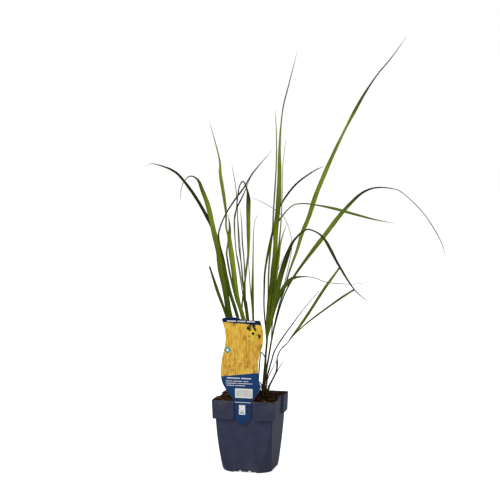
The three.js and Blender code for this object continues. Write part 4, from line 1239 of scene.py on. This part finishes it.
def smoothPath(s, path):  # points along the smooth curve through a path
    spin = Matrix.Rotation(math.radians(s["turn"]), 3, "Z")
    knots = [spin @ Vector(p) for p in path]
    knots = [2 * knots[0] - knots[1]] + knots + [2 * knots[-1] - knots[-2]]
    places = [knots[1]]
    for before, start, end, after in zip(knots, knots[1:], knots[2:], knots[3:]):
        steps = max(2, math.ceil((end - start).length / s["station"]))
        leave, arrive = (end - before) / 2, (after - start) / 2
        for i in range(1, steps + 1):
            t = i / steps
            places.append((2 * t ** 3 - 3 * t ** 2 + 1) * start + (t ** 3 - 2 * t ** 2 + t) * leave
                          + (3 * t ** 2 - 2 * t ** 3) * end + (t ** 3 - t ** 2) * arrive)
    return places


def frames(s, places, turn):  # lengths so far, and across and facing directions with the turn
    lengths = [0]
    for here, there in zip(places, places[1:]):
        lengths.append(lengths[-1] + (there - here).length)
    front = Matrix.Rotation(math.radians(s["turn"]), 3, "Z") @ Vector((0, -1, 0))
    result = []
    for i in range(len(places)):
        tangent = (places[min(i + 1, len(places) - 1)] - places[max(i - 1, 0)]).normalized()
        facing = (front - tangent * front.dot(tangent)).normalized()
        facing = Matrix.Rotation(math.radians(along(turn, lengths[i] / lengths[-1])), 3, tangent) @ facing
        result.append((lengths[i], tangent.cross(facing).normalized(), facing))
    return result


def addStrand(stations, places, guides, look):
    first = len(stations["places"])
    total = guides[-1][0]
    for i, (place, (length, across, facing)) in enumerate(zip(places, guides)):
        values = look(length / total, length, total)
        values.update(places=place, across=across, facing=facing, along=length * mm)
        for key, value in values.items():
            stations[key].append(value)
        if i:
            stations["edges"].append((first + i - 1, first + i))


def sheathLook(s, shoot, stalk, seed):
    def look(share, length, total):
        taper = s["stalkTaper"] if stalk else s["sheathTaper"]
        girth = along(shoot["girth"], share) * (1 - taper * share)
        left = total - length
        if left < s["mouth"] and not stalk:
            girth *= mix(0.5, 1, math.sqrt(left / s["mouth"]))
        ripple = 1 + 0.05 * math.sin(length * 0.21 + seed * 40)
        return {"halfWidth": girth, "halfThick": girth, "roll": 1, "girth": girth * ripple,
                "dark": shoot.get("dark", 0.4), "brown": shoot.get("brown", 0), "seed": seed}
    return look


def bladeLook(s, shoot, blade, seed, rolled):
    end = blade.get("end", "")

    def look(share, length, total):
        width = max(along(blade["width"], share), s["tipWidth"])
        if end != "cut":
            width = mix(width, s["tipWidth"], smoothstep(share, s["tipFrom"], 1))
        roll = 1 - smoothstep(length, rolled - 2, rolled + s["opening"])
        thick = mix(s["halfThick"], s["tipHalfThick"], share ** 3)
        ripple = 1 + 0.035 * math.sin(length * 0.11 + seed * 30) + 0.02 * math.sin(length * 0.31 + seed * 70)
        brown = along(blade.get("brown", 0), share)
        if end == "cut":
            brown = max(brown, smoothstep(length, total - 7, total - 1))
        elif end == "dry":
            brown = smoothstep(share, 0.45, 0.85) * 0.85
        elif end == "dead":
            brown = smoothstep(share, 0.1, 0.4)
        else:
            brown = max(brown, smoothstep(share, 0.955, 0.995) * 0.8)
        return {"halfWidth": width / 2 * ripple, "halfThick": thick, "roll": roll,
                "girth": shoot["girth"] * (0.62 + 0.1 * seed), "dark": along(blade["dark"], share),
                "brown": brown, "seed": seed}
    return look


def buildStrandTree():
    group, given, out = newGroup(
        "grownStrands", "Geometry",
        {"Geometry": "Geometry", "Sides": 20, "Fold": 0.2, "Material": "Material"},
        {"Geometry": "Geometry"})
    spine = addNode(group, "GeometryNodeMeshToCurve", inputs={"Mesh": given["Geometry"]})[0]
    circle = addNode(group, "GeometryNodeCurvePrimitiveCircle", inputs={
        "Radius": 1, "Resolution": given["Sides"]})[0]
    ring = group.nodes.new("GeometryNodeCaptureAttribute")
    ring.capture_items.new("VECTOR", "Ring")
    feedAll(ring, Geometry=circle, Ring=addNode(group, "GeometryNodeInputPosition")[0])
    skin = addNode(group, "GeometryNodeCurveToMesh", inputs={
        "Curve": spine, "Profile Curve": Term(ring.outputs["Geometry"]), "Fill Caps": True})[0]
    side, lift = split(Term(ring.outputs["Ring"]))[:2]

    halfWidth, halfThick, roll, girth = [
        readNamed(group, name) for name in ("halfWidth", "halfThick", "roll", "girth")]
    flat = 1 - roll
    wide = halfWidth * flat + girth * roll
    thick = halfThick * flat + girth * roll
    keel = (1 - calc("POWER", abs(side), 1.35)) * flat * (halfWidth * 2 * given["Fold"])
    outward = vec("SCALE", readNamed(group, "across", "FLOAT_VECTOR"), side * wide)
    forward = vec("SCALE", readNamed(group, "facing", "FLOAT_VECTOR"), lift * thick - keel)
    place = vec("ADD", readNamed(group, "spine", "FLOAT_VECTOR"), vec("ADD", outward, forward))
    result = addNode(group, "GeometryNodeSetPosition", inputs={"Geometry": skin, "Position": place})[0]
    for name, value in (("side", side), ("lift", lift)):
        result = storeNamed(result, name, value)
    endTree(addNode(group, "GeometryNodeSetShadeSmooth", inputs={"Geometry": result})[0], given, out)
    return group


strandTree = buildStrandTree()


def strandObject(name, stations, material, sides, fold):
    piece = meshObject(name, stations["places"], edges=stations["edges"])
    addAttribute(piece, "spine", "FLOAT_VECTOR", [p * mm for p in stations["places"]])
    addAttribute(piece, "across", "FLOAT_VECTOR", stations["across"])
    addAttribute(piece, "facing", "FLOAT_VECTOR", stations["facing"])
    for key in ("halfWidth", "halfThick", "girth"):
        addAttribute(piece, key, "FLOAT", [v * mm for v in stations[key]])
    for key in ("roll", "along", "dark", "brown", "seed"):
        addAttribute(piece, key, "FLOAT", [float(v) for v in stations[key]])
    throughModifier(piece, strandTree, {"Sides": sides, "Fold": fold, "Material": material})
    for key in ("spine", "across", "facing", "halfWidth", "halfThick", "girth"):
        piece.data.attributes.remove(piece.data.attributes[key])
    shaper = bmesh.new()
    shaper.from_mesh(piece.data)
    bmesh.ops.recalc_face_normals(shaper, faces=shaper.faces)
    shaper.to_mesh(piece.data)
    shaper.free()
    return piece


leafSet = {
    "pale": (0.270, 0.350, 0.020, 1), "green": (0.125, 0.180, 0.008, 1), "deep": (0.038, 0.058, 0.003, 1),
    "darkest": (0.007, 0.011, 0.001, 1), "rib": (0.26, 0.34, 0.04, 1),
    "dry": (0.10, 0.055, 0.030, 1), "dryDark": (0.026, 0.014, 0.009, 1), "base": (0.030, 0.024, 0.005, 1),
    "specular": 0.08, "grain": {"Scale": 1700.0, "Base_Roughness": 0.46, "Spread": 0.15},
    "dust": {"Level": 0.132, "Reach": 0.03, "Amount": 0.6}, "bump": (0.35, 0.06),
}


def leafMaterial(s, name):
    material, tree, shader = newMaterial(name, s["specular"])
    place = objectPlace(tree)
    side, lift, length, dark, seed, brown, roll = [
        attribute(tree, key) for key in ("side", "lift", "along", "dark", "seed", "brown", "roll")]
    grid = addNode(tree, "ShaderNodeCombineXYZ", side, length, seed * 13.0)[0]
    veins = noiseAt(grid, (16, 7, 1), detail=4, roughness=0.7)
    mottle = noiseAt(grid, (1.2, 26, 1), detail=4, roughness=0.6)
    outward = abs(side)
    # dark carries painted shade as well as the leaf's own tone
    shade = dark + (mottle - 0.5) * 0.35 + (veins - 0.5) * 0.6
    color = colorRamp(shade, [(0.0, s["pale"]), (0.35, s["green"]), (0.72, s["deep"]), (1.0, s["darkest"])])
    # painted shade: the blade darkens towards its margins, where its fold turns away from the light
    color = blend(remap(outward, 0.62, 0.98) * 0.72, color, s["darkest"])
    rib = fall(outward, 0.03, 0.13) * (1 - roll) * (0.4 - dark * 0.4)
    color = blend(rib, color, s["rib"])
    color = blend(remap(lift, -0.1, 0.1, 0.22, 0.0, smooth=False), color, s["deep"])
    low = fall(split(place)[2], 0.135, 0.2) * remap(mottle, 0.25, 0.6, 0.35, 0.9)
    color = blend(low, color, s["base"])
    spots = remap(noiseAt(place, 180.0, detail=4), 0.66, 0.74) * 0.35
    color = blend(calc("MAXIMUM", brown, spots), color, blend(veins, s["dryDark"], s["dry"]))
    color = blend(useGroup(soilDust, place, s["dust"])["Mask"], color, s["dryDark"])
    ridges = calc("SINE", side * 40.0) + veins * 1.5
    finishSurface(s, shader, useGroup(fineGrain, place, s["grain"]), color, brown * 0.3, ridges)
    return material


leafGreen = leafMaterial(leafSet, "leafGreen")
stalkLook = dict(leafSet, pale=(0.36, 0.26, 0.12, 1), green=(0.08, 0.046, 0.022, 1),
                 deep=(0.022, 0.012, 0.007, 1))
stalkBrown = leafMaterial(stalkLook, "stalkBrown")


def buildShoot(s, shoot, number):
    stalk = not shoot["blades"]
    stations = defaultdict(list)
    sheath = shoot["sheath"]
    foot = (sheath[0][0], sheath[0][1], sheath[0][2] - s["rootDepth"])
    places = smoothPath(s, [foot] + sheath)
    addStrand(stations, places, frames(s, places, 20), sheathLook(s, shoot, stalk, number * 0.137 % 1))
    for order, blade in enumerate(shoot["blades"]):
        start = [sheath[blade["from"]]] if "from" in blade else sheath[-2:]
        places = smoothPath(s, start + blade["path"])
        guides = frames(s, places, blade["turn"])
        rolled = 0 if len(start) == 1 else (Vector(start[1]) - Vector(start[0])).length
        seed = (number * 0.31 + order * 0.43) % 1
        addStrand(stations, places, guides, bladeLook(s, shoot, blade, seed, rolled))
    name = "dry" + shoot["name"] if stalk else shoot["name"].replace("tiller", "shoot")
    piece = strandObject(name, stations, stalkBrown if stalk else leafGreen, s["sides"], s["fold"])
    settle(piece, "stalk" if stalk else "leaf", shoot["name"])
    return len(piece.data.polygons)


faceCount = sum(buildShoot(grassSet, shoot, i + 1) for i, shoot in enumerate(shoots))
print("grass made:", faceCount, "faces")


# Dry scraps of old sheaths round the crown, and a few loose dead stems among the shoots

scrapSet = {
    "count": 44, "seed": 23, "length": (8, 24), "width": (1.0, 2.8), "lean": (0.15, 0.9), "root": 4,
    "dark": (-0.1, 0.9), "away": (1.2, 3.4), "turn": (-80, 80), "fringe": 0.25, "halfThick": 0.16,
    "stemWidth": 2.0, "stemDark": 0.6, "stemTurn": 20, "stemFringe": 0.5, "sides": 10,
    "stems": [
        [(27.0, -2, 149), (32.5, -2, 164), (38.0, -2, 176), (42.5, -2, 185), (46.0, -2, 192)],
        [(24.5, -22, 149), (24.0, -23, 162), (25.5, -24, 175), (29.5, -25, 185)],
        [(28.5, 16, 148), (30.0, 18, 160), (34.0, 20, 172), (36.5, 21, 185)],
    ],
}


def scrapLook(s, width, seed, fringe, dark):
    def look(share, length, total):
        size = width * mix(1, fringe, share * share)
        return {"halfWidth": size / 2, "halfThick": s["halfThick"], "roll": 0, "girth": 1, "dark": dark,
                "brown": 0.1, "seed": seed}
    return look


def buildScraps(s, grass):
    draw = random.Random(s["seed"])
    stations = defaultdict(list)
    roots = [shoot["sheath"][0] for shoot in shoots if shoot["blades"]]
    for i in range(s["count"]):
        root = Vector(roots[i % len(roots)])
        angle, lean = draw.uniform(0, 2 * math.pi), draw.uniform(*s["lean"])
        length, width = draw.uniform(*s["length"]), draw.uniform(*s["width"])
        out = Vector((math.cos(angle), math.sin(angle), 0))
        start = root + out * draw.uniform(*s["away"]) - Vector((0, 0, s["root"]))
        path = [start + out * lean * length * t * t + Vector((0, 0, length * t * (1 - 0.35 * lean * t)))
                for t in (0, 0.35, 0.7, 1)]
        places = smoothPath(grass, path)
        look = scrapLook(s, width, draw.random(), s["fringe"], draw.uniform(*s["dark"]))
        addStrand(stations, places, frames(grass, places, draw.uniform(*s["turn"])), look)
    for path in s["stems"]:
        places = smoothPath(grass, path)
        look = scrapLook(s, s["stemWidth"], draw.random(), s["stemFringe"], s["stemDark"])
        addStrand(stations, places, frames(grass, places, s["stemTurn"]), look)
    piece = strandObject("oldSheathScraps", stations, stalkBrown, s["sides"], grass["fold"])
    return settle(piece, "stalk")


# The ring of short hairs where each sheath opens into its blades

hairSet = {
    "count": 26, "seed": 11, "length": (1.2, 2.8), "thick": 0.06, "below": 2.5, "sides": 4,
    "ring": 0.72, "lean": (0.3, 0.9),
    "color": (0.42, 0.38, 0.20, 1), "specular": 0.2,
}


def buildHairTree():
    group, given, out = newGroup(
        "fineHairs", "Geometry",
        {"Geometry": "Geometry", "Thickness": 0.0001, "Sides": 4, "Material": "Material"},
        {"Geometry": "Geometry"})
    hair = addNode(group, "GeometryNodeMeshCone", inputs={
        "Vertices": given["Sides"], "Radius Bottom": given["Thickness"], "Radius Top": 0, "Depth": 1})[0]
    turn = addNode(group, "FunctionNodeAlignRotationToVector", axis="Z", inputs={
        "Vector": readNamed(group, "lean", "FLOAT_VECTOR")})[0]
    size = addNode(group, "ShaderNodeCombineXYZ", 1, 1, readNamed(group, "size"))[0]
    hairs = addNode(group, "GeometryNodeInstanceOnPoints", inputs={
        "Points": given["Geometry"], "Instance": hair, "Rotation": turn, "Scale": size})[0]
    endTree(hairs, given, out)
    return group


def hairMaterial(s):
    material, tree, shader = newMaterial("paleHair", s["specular"], roughness=0.6)
    tone = remap(noiseAt(objectPlace(tree), 300.0), 0.3, 0.7)
    darker = tuple(0.6 * c for c in s["color"][:3]) + (1,)
    feedAll(shader, Base_Color=blend(tone, darker, s["color"]))
    return material


def buildHairs(s, grass):
    draw = random.Random(s["seed"])
    points, leans, sizes = [], [], []
    for shoot in shoots:
        if not shoot["blades"]:
            continue
        places = smoothPath(grass, shoot["sheath"])
        up = (places[-1] - places[-2]).normalized()
        centre = places[-1] - up * s["below"]
        first = up.orthogonal().normalized()
        second = up.cross(first)
        girth = shoot["girth"] * (1 - grass["sheathTaper"]) * s["ring"]
        for i in range(s["count"]):
            angle = (i + draw.uniform(-0.4, 0.4)) / s["count"] * 2 * math.pi
            out = first * math.cos(angle) + second * math.sin(angle)
            points.append(centre + out * girth + up * draw.uniform(-0.5, 0.5))
            leans.append(out * draw.uniform(*s["lean"]) + up)
            sizes.append(draw.uniform(*s["length"]) * mm)
    piece = meshObject("liguleHairs", points)
    addAttribute(piece, "lean", "FLOAT_VECTOR", leans)
    addAttribute(piece, "size", "FLOAT", sizes)
    throughModifier(piece, buildHairTree(), {"Thickness": s["thick"] * mm, "Sides": s["sides"],
                                             "Material": hairMaterial(s)})
    for name in ("lean", "size"):
        if name in piece.data.attributes:
            piece.data.attributes.remove(piece.data.attributes[name])
    return settle(piece, "leaf")


scraps = buildScraps(scrapSet, grassSet)
hairs = buildHairs(hairSet, grassSet)
print("scraps and hairs made:", len(scraps.data.polygons) + len(hairs.data.polygons), "faces")


# The end

print("done")
